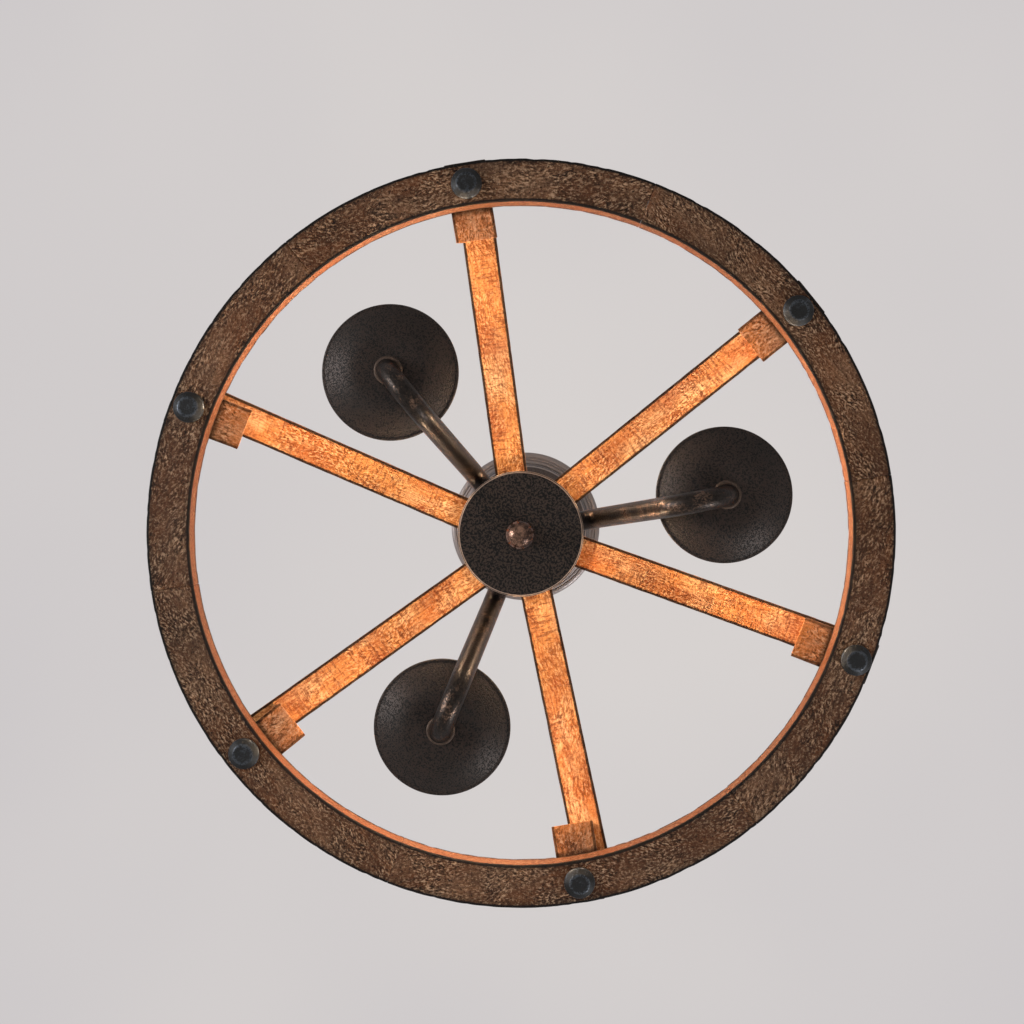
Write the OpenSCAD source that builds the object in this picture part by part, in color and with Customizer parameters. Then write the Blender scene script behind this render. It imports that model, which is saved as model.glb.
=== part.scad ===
// Wagon wheel chandelier with three up-lights on hooked arms, for a ceiling box.
// Millimetres. +Z is up and the origin is on the wheel's axis in the ceiling plane.

/* [Wheel] */
// Outer diameter of the wheel
wheel_d = 508; // [480:1:560]
// Depth from the ceiling to the underside of the rim
drop = 238; // [230:1:420]
// Radial width of the rim
rim_w = 29; // [26:0.5:34]
// Thickness of the rim
rim_t = 16.5; // [11:0.5:20]
// Bevel along the long edges of the rim
rim_bevel = 0.8; // [0.4:0.1:1.5]
// Glue line between two felloes
glue_line = 0.4; // [0.2:0.1:0.8]
// Diameter of the dowels in the felloe joints
dowel_d = 6; // [4:0.5:7]
// Length of a dowel
dowel_l = 24; // [16:1:30]
// Distance between the two dowels of one joint
dowel_pitch = 14; // [12:0.5:17]

/* [Spokes] */
// Width of a spoke
spoke_w = 23.8; // [19:0.1:25]
// Thickness of a spoke
spoke_t = 14; // [10:0.5:18]
// Rise of the spokes from rim to hub, in degrees
spoke_rise = 18; // [15:0.5:20]
// Distance of the spokes' inner ends from the axis
spoke_start = 26; // [25:0.5:30]
// How far spokes and blocks stand out past the rim
spoke_over = 4.5; // [2:0.5:8]
// Width of a wedge block
block_w = 28.8; // [25:0.1:32]
// Height of a wedge block at its outer end
block_toe = 2.3; // [1.5:0.1:6]
// How far a wedge block reaches in past the rim
block_reach = 21.4; // [16:0.1:26]

/* [Fixings] */
// Diameter of the rim bolts' heads
bolt_head_d = 21; // [16:0.1:22]
// Height of the rim bolts' heads
bolt_head_h = 4.5; // [3:0.1:8]
// Diameter of the rim bolts' shanks
bolt_d = 6; // [4:0.5:8]
// How deep a rim bolt goes into its block
bolt_bite = 5; // [3:0.5:6]
// Diameter of the wood screws' shanks
screw_d = 3.5; // [3:0.1:4.5]
// Diameter of the wood screws' heads
screw_head_d = 7.5; // [6:0.1:9]
// Height of the wood screws' heads
screw_head_h = 2.2; // [1.5:0.1:3]
// How deep a wood screw goes into its block or into the hub
screw_bite = 8; // [5:0.5:9]
// Distance of a block's first screw from the block's inner end
screw_inset = 7; // [6:0.5:9]
// Distance between a block's two screws
screw_pitch = 15; // [12:0.5:18]

/* [Hub] */
// Diameter of the two clamp halves that hold the spokes
clamp_d = 84; // [78:1:90]
// Thickness of the lower clamp half under the spokes' edge
clamp_base = 12; // [11:0.5:18]
// Thickness of the upper clamp half over the spokes' ends
clamp_cap = 5; // [3:0.5:8]
// Diameter of the wiring drum
drum_d = 72; // [66:1:78]
// Height of the wiring drum
drum_h = 56; // [48:1:62]
// How far the drum hangs below the rim's underside
drum_hang = 18; // [10:1:30]
// Wall of the wiring drum
drum_wall = 1.5; // [1:0.1:2.5]
// Diameter of the cover plate under the drum
cover_d = 83.4; // [80:0.2:92]
// Thickness of the cover plate
cover_t = 1.2; // [0.8:0.1:2]
// Height of the cover plate's turned-up lip
cover_lip = 4; // [2:0.5:8]
// Diameter of the finial's ball
ball_d = 19.7; // [16:0.1:24]
// Diameter of the finial's foot
foot_d = 15; // [13:0.5:18]
// Height of the finial's foot
foot_h = 9; // [8:0.5:12]
// Length of the finial's neck
neck_h = 8; // [4:0.5:12]
// Diameter of the finial's neck
neck_d = 7; // [5:0.5:9]

/* [Stem] */
// Diameter of the threaded lamp pipe
pipe_d = 10; // [9:0.1:11]
// Bore of the lamp pipe
pipe_bore = 7; // [6:0.1:7.5]
// Diameter of the stem tube below the canopy
stem_d = 16; // [14:0.5:20]
// Diameter of the spacer tube between drum and clamp
spacer_d = 20; // [16:0.5:26]
// Width of the pipe nuts across their corners
nut_w = 17; // [15:0.5:19]
// Thickness of the pipe nuts
nut_t = 5; // [3:0.5:5.5]
// Diameter of the supply lead inside the pipe
lead_d = 5; // [4:0.1:5.4]

/* [Arms] */
// Diameter of an arm's tube
arm_d = 13.6; // [12.5:0.1:14.5]
// Wall of an arm's tube
arm_wall = 1.6; // [1:0.1:1.7]
// Distance from the axis to the middle of a lamp
arm_reach = 135; // [128:1:145]
// Height of the arms' holes above the drum's lower edge
arm_hole_h = 30; // [24:0.5:34]
// Bend radius of an arm at the drum
shoulder_r = 16; // [12:0.5:20]
// Bend radius of an arm's hook under the dish
hook_r = 22; // [18:0.5:24]
// Straight end of an arm under the dish
arm_tip = 6; // [6:0.5:9]
// Length of the collars where the arms leave the drum
arm_root = 6; // [4:0.5:8]
// Widest diameter of those collars
collar_d = 23; // [20:0.5:26]
// Width of the arm nuts across their corners
arm_nut_w = 21; // [19:0.5:22]
// Thickness of the arm nuts
arm_nut_t = 3.5; // [2:0.5:5]
// Diameter of the wires in the arms
wire_d = 3.6; // [2.5:0.1:4]

/* [Lamps] */
// How far the dishes hang below the rim's underside
dish_hang = 46; // [40:1:56]
// Diameter of a dish
dish_d = 89; // [80:0.2:92]
// Depth of a dish
dish_depth = 12; // [9:0.5:18]
// Diameter of a dish's flat floor
dish_floor_d = 40; // [36:1:50]
// Thickness of a dish
dish_t = 1.2; // [0.8:0.1:2]
// Diameter of the ring under a dish
ring_d = 18.6; // [17:0.1:22]
// Height of the ring under a dish
ring_h = 3; // [2:0.5:5]
// Diameter of a lamp cup
cup_d = 34; // [30:0.5:38]
// Height of a lamp cup
cup_h = 28; // [20:0.5:34]
// Wall of a lamp cup
cup_wall = 1; // [0.8:0.1:1.5]
// Diameter of a lampholder
socket_d = 20; // [18:0.5:24]
// Height of a lampholder
socket_h = 31; // [29:0.5:36]
// Depth of the lampholder's bore for the bulb's cap
socket_depth = 17.5; // [15:0.5:18]
// Length of the nipple that joins arm, dish and lampholder
nipple_l = 13; // [12:0.5:15]

/* [Bulbs] */
// Diameter of a bulb's screw cap
cap_d = 11.7; // [11:0.1:12.5]
// Length of a bulb's screw cap
cap_l = 18; // [16:0.5:20]
// Largest diameter of a bulb's glass
glass_d = 35; // [30:0.5:38]
// Overall length of a bulb
bulb_l = 98; // [90:1:110]
// Thickness of a bulb's glass and cap
glass_t = 0.8; // [0.6:0.1:1]
// Length of a bulb's filaments
filament_l = 30; // [24:1:34]
// Height of the stud that carries the filaments, above the cap
stud_h = 12; // [8:1:16]
// How deep the glass's neck sits in the cap
neck_seat = 3; // [2:0.5:5]

/* [Canopy] */
// Diameter of the canopy
canopy_d = 127; // [118:1:140]
// Depth of the canopy
canopy_h = 25; // [22:0.5:34]
// Thickness of the canopy's metal
canopy_t = 1; // [0.8:0.1:1.5]
// Width of the canopy's outer band
canopy_band = 9.5; // [7:0.5:12]
// Diameter of the collar under the canopy
canopy_collar_d = 27; // [24:0.5:34]
// Height of the collar under the canopy
canopy_collar_h = 10; // [7:0.5:14]
// How far the crossbar reaches past its slots
bar_end = 4; // [3:0.5:6]
// Width of the crossbar
bar_w = 22; // [20:0.5:26]
// Thickness of the crossbar
bar_t = 2.2; // [1.6:0.1:3]
// Distance between the two slots for the ceiling box's screws
slot_spacing = 88.9; // [86:0.1:90]
// Width of those slots
slot_w = 5; // [4.2:0.1:6]
// Length of those slots
slot_l = 9; // [7:0.5:12]
// Distance of the earth screw from the middle of the crossbar
ground_x = 22; // [18:1:26]
// Diameter of the earth screw
ground_d = 4; // [3:0.5:5]

/* [Hidden] */
$fn = 96;

// Clearances: a sliding fit, a piece pushed into a pocket, a gap between bodies, and
// the spare depth under a screw or at the end of a lead
run_gap = 0.05;
push_gap = 0.15;
body_gap = 0.3;
end_gap = 0.5;
// How far a cutting shape reaches past what it cuts
over = 1;

// The light was put together by hand, so the spokes' inner and outer ends, the blocks
// and the bolts lie a little off their ideal places (counter-clockwise and outwards
// are +, in mm), and the arms a little off their ideal directions (degrees)
hub_lay = [-2.4, 0, -2.1, -4.3, -4.7, -2.2];
spoke_lay = [-1.7, -6.2, -13.3, 8.9, 5.6, 3.6];
block_lay = [-0.7, -1.4, -2.8, -0.5, -2.4, 1];
bolt_lay = [1.1, -1, -2, 2.2, -1, 0.4];
bolt_out = [0, 1.9, -0.7, -0.8, 0, -1];
lamp_lay = [-2, 1.1, 0.3];
stations = 6;
step = 360 / stations;
lamp_turn = 30;
lamps = 3;

// Heights
rim_z = -drop;
rim_top = rim_z + rim_t;
wheel_r = wheel_d / 2;
rim_in_r = wheel_r - rim_w;
rim_mid_r = wheel_r - rim_w / 2;
bolt_r = rim_mid_r + 1;
spoke_end = wheel_r + spoke_over;
block_start = rim_in_r - block_reach;
spoke_tz = spoke_t / cos(spoke_rise);
// Where the plane of a block's inner end meets the spoke's top
block_end_top = block_start
  + (block_toe + spoke_tz + (spoke_end - block_start) * tan(spoke_rise)) * sin(spoke_rise)
  * cos(spoke_rise);
clamp_r = clamp_d / 2;
clamp_bottom = spoke_under(clamp_r) - clamp_base;
clamp_split = spoke_under(clamp_r) + spoke_tz / 2;
clamp_top = spoke_under(spoke_start) + spoke_tz + clamp_cap;
clamp_h = clamp_top - clamp_bottom;
block_screw_l = spoke_t + screw_bite;
clamp_screw_l = clamp_top - spoke_under((spoke_start + clamp_r) / 2) + screw_bite;
drum_bottom = rim_z - drum_hang;
drum_top = drum_bottom + drum_h;
cover_bottom = drum_bottom - cover_t;
stem_top = -bar_t - 2 * nut_t;
finial_bore = foot_h - 3;
pipe_bottom = cover_bottom - finial_bore + 2 * end_gap;
arm_z = drum_bottom + arm_hole_h;
lamp_z = rim_z - dish_hang;
pipe_hole = pipe_d + 2 * push_gap;

// Underside of a spoke at a distance r from the axis
function spoke_under(r) = rim_top + block_toe + (spoke_end - r) * tan(spoke_rise);

// A spoke lies on the line from its seat on the hub to its seat on the rim
function beside(k, r, lay) =
  let (a = step * k)
  [r * cos(a) - lay * sin(a), r * sin(a) + lay * cos(a)];
function hub_point(k) = beside(k, clamp_r, hub_lay[k]);
function rim_point(k) = beside(k, bolt_r, spoke_lay[k]);
function spoke_run(k) = rim_point(k) - hub_point(k);
function spoke_turn(k) = atan2(spoke_run(k)[1], spoke_run(k)[0]);
function spoke_side(k) =
  let (a = spoke_turn(k), p = hub_point(k))
  p[1] * cos(a) - p[0] * sin(a);

function lamp_way(k) = lamp_turn + k * 360 / lamps + lamp_lay[k];

// An arm leaves the drum, bends down, runs straight and hooks up under its dish
shoulder = [drum_d / 2 + arm_root, arm_z - shoulder_r];
hook = [arm_reach - hook_r, lamp_z - arm_tip];
arm_span = hook - shoulder;
arm_straight = sqrt(arm_span * arm_span - pow(shoulder_r + hook_r, 2));
arm_dip = 90 - atan2(arm_straight, shoulder_r + hook_r) - atan2(arm_span[1], arm_span[0]);
shoulder_steps = 7;
hook_steps = 16;
arm_inner = drum_inner_at(arm_nut_w / 2) - run_gap - arm_nut_t - 2 * end_gap;
function drum_inner_at(side) = sqrt(pow(drum_d / 2 - drum_wall, 2) - side * side);

// Lamp parts, as heights above the underside of the dish
dish_top = dish_t;
cup_floor = dish_top + cup_wall;
nipple_low = -arm_tip + end_gap;
nipple_high = nipple_low + nipple_l;
socket_top = cup_floor + socket_h;
socket_floor = socket_top - socket_depth;
cap_low = socket_floor + body_gap;
cap_high = cap_low + cap_l;
glass_low = cap_high - neck_seat;
glass_high = cap_low + bulb_l;
stud_top = cap_high + stud_h;
nipple_d = pipe_d;
wire_hole = wire_d + 0.8;
lead_branch_d = 3.2;
sleeve_d = 9;
sleeve_l = 11;
sleeve_in = pipe_d / 2 + 2.5;
sleeve_out = sleeve_in + sleeve_l;
sleeve_mid = (sleeve_in + sleeve_out) / 2;
bar_l = slot_spacing + slot_l + 2 * bar_end;
wood_dark = [0.29, 0.21, 0.16];
wood_light = [0.62, 0.38, 0.2];
bronze = [0.17, 0.14, 0.12];
bronze_rubbed = [0.3, 0.22, 0.17];
steel_blue = [0.12, 0.13, 0.15];
zinc = [0.65, 0.65, 0.62];

// ---- helpers -------------------------------------------------------------

// A ring turned from a rectangle, standing on z
module ring(r_out, r_in, h) {
  difference() {
    cylinder(r = r_out, h = h);
    translate([0, 0, -over]) cylinder(r = r_in, h = h + 2 * over);
  }
}

// Puts children at lamp k, with the origin on the underside of the dish
module at_lamp(k) {
  rotate([0, 0, lamp_way(k)])
    translate([arm_reach, 0, lamp_z])
      children();
}

// Puts children at all three lamps
module at_lamps() {
  for (k = [0 : lamps - 1]) at_lamp(k) children();
}

// Puts children at the drum's wall, with x along arm k
module at_arm(k) {
  rotate([0, 0, lamp_way(k)]) translate([0, 0, arm_z]) children();
}

// Frame of spoke k: x along the spoke in plan, y across it
module along_spoke(k) {
  rotate([0, 0, spoke_turn(k)]) translate([0, spoke_side(k), 0]) children();
}

// A bar with plumb ends that follows the spokes' slope, from x0 to x1 in plan
module sloping_bar(x0, x1, w, low, high) {
  z0 = spoke_under(x0);
  z1 = spoke_under(x1);
  translate([0, w / 2, 0]) rotate([90, 0, 0])
    linear_extrude(height = w)
      polygon([[x0, z0 + low], [x1, z1 + low], [x1, z1 + high], [x0, z0 + high]]);
}

// Puts children on the top of spoke k at distance x, square to the spoke
module on_spoke(k, x) {
  along_spoke(k)
    translate([x, 0, spoke_under(x) + spoke_tz])
      rotate([0, spoke_rise, 0])
        children();
}

// A wood screw with its head standing on z = 0 and its shank going down
module wood_screw(l) {
  rotate_extrude()
    polygon([
      [0, -l], [screw_d * 0.25, -l], [screw_d / 2, -l + 3], [screw_d / 2, 0],
      [screw_head_d / 2, 0], [screw_head_d / 2, screw_head_h * 0.4],
      [screw_head_d * 0.3, screw_head_h], [0, screw_head_h]
    ]);
}

// Stations [x, z, slope] of an arm's middle line, from x = start up to z = end
function arm_line(start, end) = concat(
  [[start, arm_z, 0]],
  [for (i = [0 : shoulder_steps])
    let (a = arm_dip * i / shoulder_steps)
    [shoulder[0] + shoulder_r * sin(a), shoulder[1] + shoulder_r * cos(a), -a]],
  [for (i = [0 : hook_steps])
    let (a = -arm_dip + (90 + arm_dip) * i / hook_steps)
    [hook[0] + hook_r * sin(a), hook[1] - hook_r * cos(a), a]],
  [[arm_reach, end, 90]]
);

// Round bar of diameter d along the arm's middle line
module arm_route(start, end, d, sides) {
  line = arm_line(start, end);
  last = len(line) - 1;
  ring_points = [
    for (s = line)
      for (j = [0 : sides - 1])
        let (a = 360 * (j + 0.5) / sides)
        [s[0] - d / 2 * cos(a) * sin(s[2]), d / 2 * sin(a), s[1] + d / 2 * cos(a) * cos(s[2])]
  ];
  walls = [
    for (i = [0 : last - 1])
      for (j = [0 : sides - 1])
        let (k = (j + 1) % sides, m = i * sides, n = m + sides)
        each [[m + j, m + k, n + j], [m + k, n + k, n + j]]
  ];
  polyhedron(
    ring_points,
    concat(walls, [[for (j = [sides - 1 : -1 : 0]) j], [for (j = [0 : sides - 1]) last * sides + j]])
  );
}

// ---- wheel ---------------------------------------------------------------

module felloe(k) {
  half_gap = asin(glue_line / 2 / rim_mid_r);
  x0 = rim_in_r;
  x1 = wheel_r;
  b = rim_bevel;
  color(wood_dark)
    difference() {
      rotate([0, 0, step * (k - 0.5) + half_gap])
        translate([0, 0, rim_z])
          rotate_extrude(angle = step - 2 * half_gap)
            polygon([
              [x0 + b, 0], [x1 - b, 0], [x1, b], [x1, rim_t - b],
              [x1 - b, rim_t], [x0 + b, rim_t], [x0, rim_t - b], [x0, b]
            ]);
      for (end = [0, 1]) dowel_pair(k + end, dowel_d + 2 * run_gap, dowel_l + 2 * end_gap);
      bolt_place(k) translate([0, 0, -over]) cylinder(d = bolt_d + 2 * push_gap, h = rim_t + 2 * over);
    }
}

// The two dowels of the joint before felloe k
module dowel_pair(k, d, l) {
  rotate([0, 0, step * (k - 0.5)])
    for (side = [-1, 1])
      translate([rim_mid_r + side * dowel_pitch / 2, l / 2, rim_z + rim_t / 2])
        rotate([90, 0, 0])
          cylinder(d = d, h = l);
}

module felloe_dowels() {
  color(wood_light)
    for (k = [0 : stations - 1]) dowel_pair(k, dowel_d, dowel_l);
}

module bolt_place(k) {
  rotate([0, 0, step * k])
    translate([bolt_r + bolt_out[k], bolt_lay[k], rim_z])
      children();
}

// Button head below the rim, shank up through the felloe into the block
module rim_bolts() {
  r = bolt_head_d / 2;
  flat = r * 0.62;
  head_side = 1.5;
  soft = 0.8;
  color(steel_blue)
    for (k = [0 : stations - 1])
      bolt_place(k) {
        rotate_extrude()
          polygon([
            [0, 0], [r, 0], [r, -head_side], [r - soft, -head_side - soft],
            [flat, -bolt_head_h], [0, -bolt_head_h]
          ]);
        cylinder(d = bolt_d, h = rim_t + bolt_bite);
      }
}

// Wedge between rim and spoke, with its inner end square to the spoke
module block(k) {
  tall = block_toe + (spoke_end - block_start + block_w / 2) * tan(spoke_rise);
  color(wood_dark)
    difference() {
      rotate([0, 0, step * k])
        translate([0, block_lay[k] + block_w / 2, rim_top])
          rotate([90, 0, 0])
            linear_extrude(height = block_w)
              polygon([
                [block_start, 0], [spoke_end, 0], [spoke_end, tall],
                [block_start + tall * tan(spoke_rise), tall]
              ]);
      along_spoke(k)
        sloping_bar(block_start - block_w, spoke_end + block_w, block_w * 4, 0, drop);
      bolt_place(k)
        translate([0, 0, rim_t - over]) cylinder(d = bolt_d + 2 * push_gap, h = bolt_bite + over + end_gap);
      block_screw_places(k) screw_hole(block_screw_l);
    }
}

module spoke(k) {
  color(wood_light)
    difference() {
      along_spoke(k) sloping_bar(spoke_start, spoke_end, spoke_w, 0, spoke_tz);
      block_screw_places(k) screw_hole(block_screw_l);
      clamp_screw_place(k) screw_hole(clamp_screw_l);
    }
}

// Two screws down through the spoke into its block
module block_screw_places(k) {
  for (i = [0, 1]) on_spoke(k, block_end_top + screw_inset + i * screw_pitch) children();
}

// One screw through the upper clamp half and the spoke into the lower half
module clamp_screw_place(k) {
  along_spoke(k) translate([(spoke_start + clamp_r) / 2, 0, clamp_top]) children();
}

// Hole for the shank of a screw of length l, a little deeper than the screw
module screw_hole(l) {
  translate([0, 0, -l - end_gap]) cylinder(d = screw_d + 2 * run_gap, h = l + end_gap + over);
}

module spoke_screws() {
  color(bronze)
    for (k = [0 : stations - 1]) block_screw_places(k) wood_screw(block_screw_l);
}

module clamp_screws() {
  color(bronze)
    for (k = [0 : stations - 1]) clamp_screw_place(k) wood_screw(clamp_screw_l);
}

// ---- hub -----------------------------------------------------------------

// Room for all spokes' inner ends in the clamp
module spoke_pockets(low, high) {
  for (k = [0 : stations - 1])
    along_spoke(k)
      sloping_bar(spoke_start - push_gap, clamp_r + spoke_w, spoke_w + 2 * push_gap, low, high);
}

// The seat of the lower half follows the spokes' undersides
module clamp_lower() {
  color(bronze)
    difference() {
      translate([0, 0, clamp_bottom]) cylinder(r = clamp_r, h = clamp_split - clamp_bottom);
      spoke_pockets(0, clamp_h);
      translate([0, 0, clamp_bottom - over]) cylinder(d = pipe_hole, h = clamp_h);
      for (k = [0 : stations - 1]) clamp_screw_place(k) screw_hole(clamp_screw_l);
    }
}

module clamp_upper() {
  color(bronze)
    difference() {
      translate([0, 0, clamp_split]) cylinder(r = clamp_r, h = clamp_top - clamp_split);
      spoke_pockets(-clamp_h, spoke_tz);
      translate([0, 0, clamp_split - over]) cylinder(d = pipe_hole, h = clamp_h);
      for (k = [0 : stations - 1]) clamp_screw_place(k) screw_hole(clamp_screw_l);
    }
}

// Spun steel drum, open below, with three holes for the arms
module hub_drum() {
  r = drum_d / 2;
  color(bronze)
    difference() {
      translate([0, 0, drum_bottom]) cylinder(r = r, h = drum_h);
      translate([0, 0, drum_bottom - over]) cylinder(r = r - drum_wall, h = drum_h + over - drum_wall);
      translate([0, 0, drum_top - drum_wall - over]) cylinder(d = pipe_hole, h = drum_wall + 2 * over);
      for (k = [0 : lamps - 1])
        at_arm(k) rotate([0, 90, 0]) cylinder(d = arm_d + 2 * run_gap, h = drum_d);
    }
}

// Flat plate with a turned-up lip that closes the drum from below
module hub_cover() {
  r = cover_d / 2;
  bevel = 1;
  color(bronze)
    translate([0, 0, cover_bottom])
      rotate_extrude()
        polygon([
          [pipe_hole / 2, 0], [r - bevel, 0], [r, bevel], [r, cover_lip],
          [r - cover_t, cover_lip], [r - cover_t, cover_t], [pipe_hole / 2, cover_t]
        ]);
}

// Ball finial that screws on the pipe and holds the cover plate
module finial() {
  foot_r = foot_d / 2;
  neck_r = neck_d / 2;
  sunk = 2;
  ball_z = cover_bottom - foot_h - neck_h - ball_d / 2 + sunk;
  color(bronze_rubbed)
    difference() {
      union() {
        translate([0, 0, cover_bottom - foot_h])
          rotate_extrude()
            polygon([
              [0, 0], [neck_r, 0], [foot_r - 2, 1.5], [foot_r, 4],
              [foot_r, foot_h], [0, foot_h]
            ]);
        translate([0, 0, cover_bottom - foot_h - neck_h]) cylinder(r = neck_r, h = neck_h + over);
        translate([0, 0, ball_z]) sphere(d = ball_d);
      }
      translate([0, 0, cover_bottom - finial_bore])
        cylinder(d = pipe_d + 2 * run_gap, h = finial_bore + over);
    }
}

// ---- stem ----------------------------------------------------------------

// Threaded pipe through the whole hub, with side holes for the branch leads
module lamp_pipe() {
  color(zinc)
    difference() {
      translate([0, 0, pipe_bottom]) ring(pipe_d / 2, pipe_bore / 2, -pipe_bottom);
      for (k = [0 : lamps - 1])
        at_arm(k) rotate([0, 90, 0]) cylinder(d = lead_branch_d + 2 * push_gap, h = pipe_d);
    }
}

module stem_tube() {
  color(bronze)
    translate([0, 0, clamp_top]) ring(stem_d / 2, pipe_hole / 2, stem_top - clamp_top);
}

module spacer_tube() {
  color(bronze)
    translate([0, 0, drum_top]) ring(spacer_d / 2, pipe_hole / 2, clamp_bottom - drum_top);
}

// Two nuts under the crossbar, one inside the drum, and one on each arm
module lock_nuts() {
  color(zinc) {
    for (z = [stem_top, stem_top + nut_t, drum_top - drum_wall - nut_t])
      translate([0, 0, z]) hex_nut(nut_w, nut_t, pipe_d + 2 * run_gap);
    for (k = [0 : lamps - 1])
      at_arm(k)
        translate([drum_inner_at(arm_nut_w / 2) - run_gap - arm_nut_t, 0, 0])
          rotate([0, 90, 0])
            hex_nut(arm_nut_w, arm_nut_t, arm_d + 2 * run_gap);
  }
}

module hex_nut(w, t, hole) {
  difference() {
    cylinder(d = w, h = t, $fn = 6);
    translate([0, 0, -over]) cylinder(d = hole, h = t + 2 * over);
  }
}

// Supply lead down the pipe, with one branch to each arm
module supply_lead() {
  color([0.75, 0.72, 0.66]) {
    translate([0, 0, arm_z - lead_d / 2]) cylinder(d = lead_d, h = -arm_z + lead_d / 2 - end_gap);
    for (k = [0 : lamps - 1])
      at_arm(k) rotate([0, 90, 0]) cylinder(d = lead_branch_d, h = sleeve_mid - push_gap);
  }
}

// ---- arms ----------------------------------------------------------------

module arm(k) {
  color(bronze_rubbed)
    rotate([0, 0, lamp_way(k)])
      difference() {
        arm_route(arm_inner, lamp_z, arm_d, 24);
        arm_route(arm_inner - over, lamp_z + over, arm_d - 2 * arm_wall, 16);
      }
}

// Tapered collars where the arms leave the drum
module arm_collars() {
  r = drum_d / 2;
  sunk = 4;
  color(bronze)
    for (k = [0 : lamps - 1])
      at_arm(k)
        difference() {
          translate([r - sunk, 0, 0]) rotate([0, 90, 0])
            cylinder(d1 = collar_d, d2 = arm_d + 3, h = sunk + arm_root);
          rotate([0, 90, 0]) cylinder(d = arm_d + 2 * run_gap, h = drum_d);
          translate([0, 0, -collar_d]) cylinder(r = r + run_gap, h = 2 * collar_d);
        }
}

// One wire through each arm, from its splice to its lampholder
module arm_wires() {
  color([0.2, 0.2, 0.2])
    for (k = [0 : lamps - 1])
      rotate([0, 0, lamp_way(k)])
        arm_route(sleeve_mid, lamp_z + socket_floor - end_gap, wire_d, 8);
}

// Crimp sleeves that join the branch leads to the arms' wires
module splice_sleeves() {
  color([0.8, 0.8, 0.75])
    for (k = [0 : lamps - 1])
      at_arm(k)
        translate([sleeve_in, 0, 0]) rotate([0, 90, 0])
          ring(sleeve_d / 2, wire_d / 2 + run_gap, sleeve_out - sleeve_in);
}

// ---- lamps ---------------------------------------------------------------

// Spun dish with a flat floor, a coved side and a rolled lip
module dish(k) {
  r = dish_d / 2;
  floor_r = dish_floor_d / 2;
  lip = 1.3;
  side = r - lip - floor_r;
  points = 8;
  bend = 1.7;
  function cove(i) = let (u = i / points) [floor_r + side * u, (dish_depth - lip) * pow(u, bend)];
  color(bronze)
    at_lamp(k) {
      rotate_extrude()
        polygon(concat(
          [[nipple_d / 2 + push_gap, 0]],
          [for (i = [0 : points]) cove(i)],
          [for (i = [points : -1 : 0]) cove(i) + [0, dish_t]],
          [[nipple_d / 2 + push_gap, dish_t]]
        ));
      translate([0, 0, dish_depth - lip + dish_t / 2])
        rotate_extrude() translate([r - lip, 0]) circle(r = lip);
    }
}

// Thin rings round the arms' tips, under the dishes
module dish_rings() {
  color(bronze_rubbed)
    at_lamps() translate([0, 0, -ring_h]) ring(ring_d / 2, arm_d / 2 + run_gap, ring_h);
}

// Threaded nipples from the arms' tips up into the lampholders
module dish_nipples() {
  color(zinc)
    at_lamps() translate([0, 0, nipple_low]) ring(nipple_d / 2, pipe_bore / 2, nipple_l);
}

// Open cups that hide the lampholders
module lamp_cups() {
  r = cup_d / 2;
  bevel = 1;
  color(bronze)
    at_lamps()
      translate([0, 0, dish_top])
        rotate_extrude()
          polygon([
            [nipple_d / 2 + push_gap, 0], [r - bevel, 0], [r, bevel], [r, cup_h],
            [r - cup_wall, cup_h], [r - cup_wall, cup_wall], [nipple_d / 2 + push_gap, cup_wall]
          ]);
}

// Lampholder: nipple thread below, wire passage, bore for the bulb's cap above
module socket(k) {
  low_bore = nipple_high - cup_floor + end_gap;
  color([0.12, 0.1, 0.09])
    at_lamp(k)
      difference() {
        translate([0, 0, cup_floor]) cylinder(d = socket_d, h = socket_h);
        translate([0, 0, cup_floor - over]) cylinder(d = nipple_d + 2 * run_gap, h = low_bore + over);
        translate([0, 0, cup_floor]) cylinder(d = wire_hole, h = socket_h);
        translate([0, 0, socket_floor]) cylinder(d = cap_d + 2 * body_gap, h = socket_depth + over);
      }
}

// Candle bulb outline: u runs from the neck, 0, to the tip, 1, widest at belly_at
belly_at = 0.42;
tip_bend = 0.8;
function glass_r(u, neck, belly) =
  u < belly_at
    ? neck + (belly - neck) * (1 - cos(180 * u / belly_at)) / 2
    : belly * pow(max(cos(90 * (u - belly_at) / (1 - belly_at)), 0), tip_bend);

module bulb_glass(k) {
  neck = cap_d / 2 - glass_t - push_gap;
  belly = glass_d / 2;
  low = neck_seat + end_gap;
  h = glass_high - glass_low - low;
  points = 16;
  module body(shrink) {
    rotate_extrude()
      polygon(concat(
        [[0, 0], [neck - shrink, 0]],
        [for (i = [0 : points])
          let (u = i / points)
          [max(glass_r(u, neck, belly) - shrink, 0), low + (h - shrink) * u]]
      ));
  }
  color([0.95, 0.8, 0.55, 0.5])
    at_lamp(k) translate([0, 0, glass_low])
      difference() {
        body(0);
        body(glass_t);
        translate([0, 0, -over]) cylinder(r = neck - glass_t, h = 2 * over);
      }
}

// Screw cap: a cup round the glass's neck with a contact below
module bulb_cap(k) {
  r = cap_d / 2;
  color([0.75, 0.62, 0.35])
    at_lamp(k) translate([0, 0, cap_low])
      rotate_extrude()
        polygon([
          [0, 0], [2.5, 0], [3, 1.2], [r - 1.2, 2.4], [r, 3.4], [r, cap_l],
          [r - glass_t, cap_l], [r - glass_t, 4.5], [0, 4.5]
        ]);
}

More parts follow.
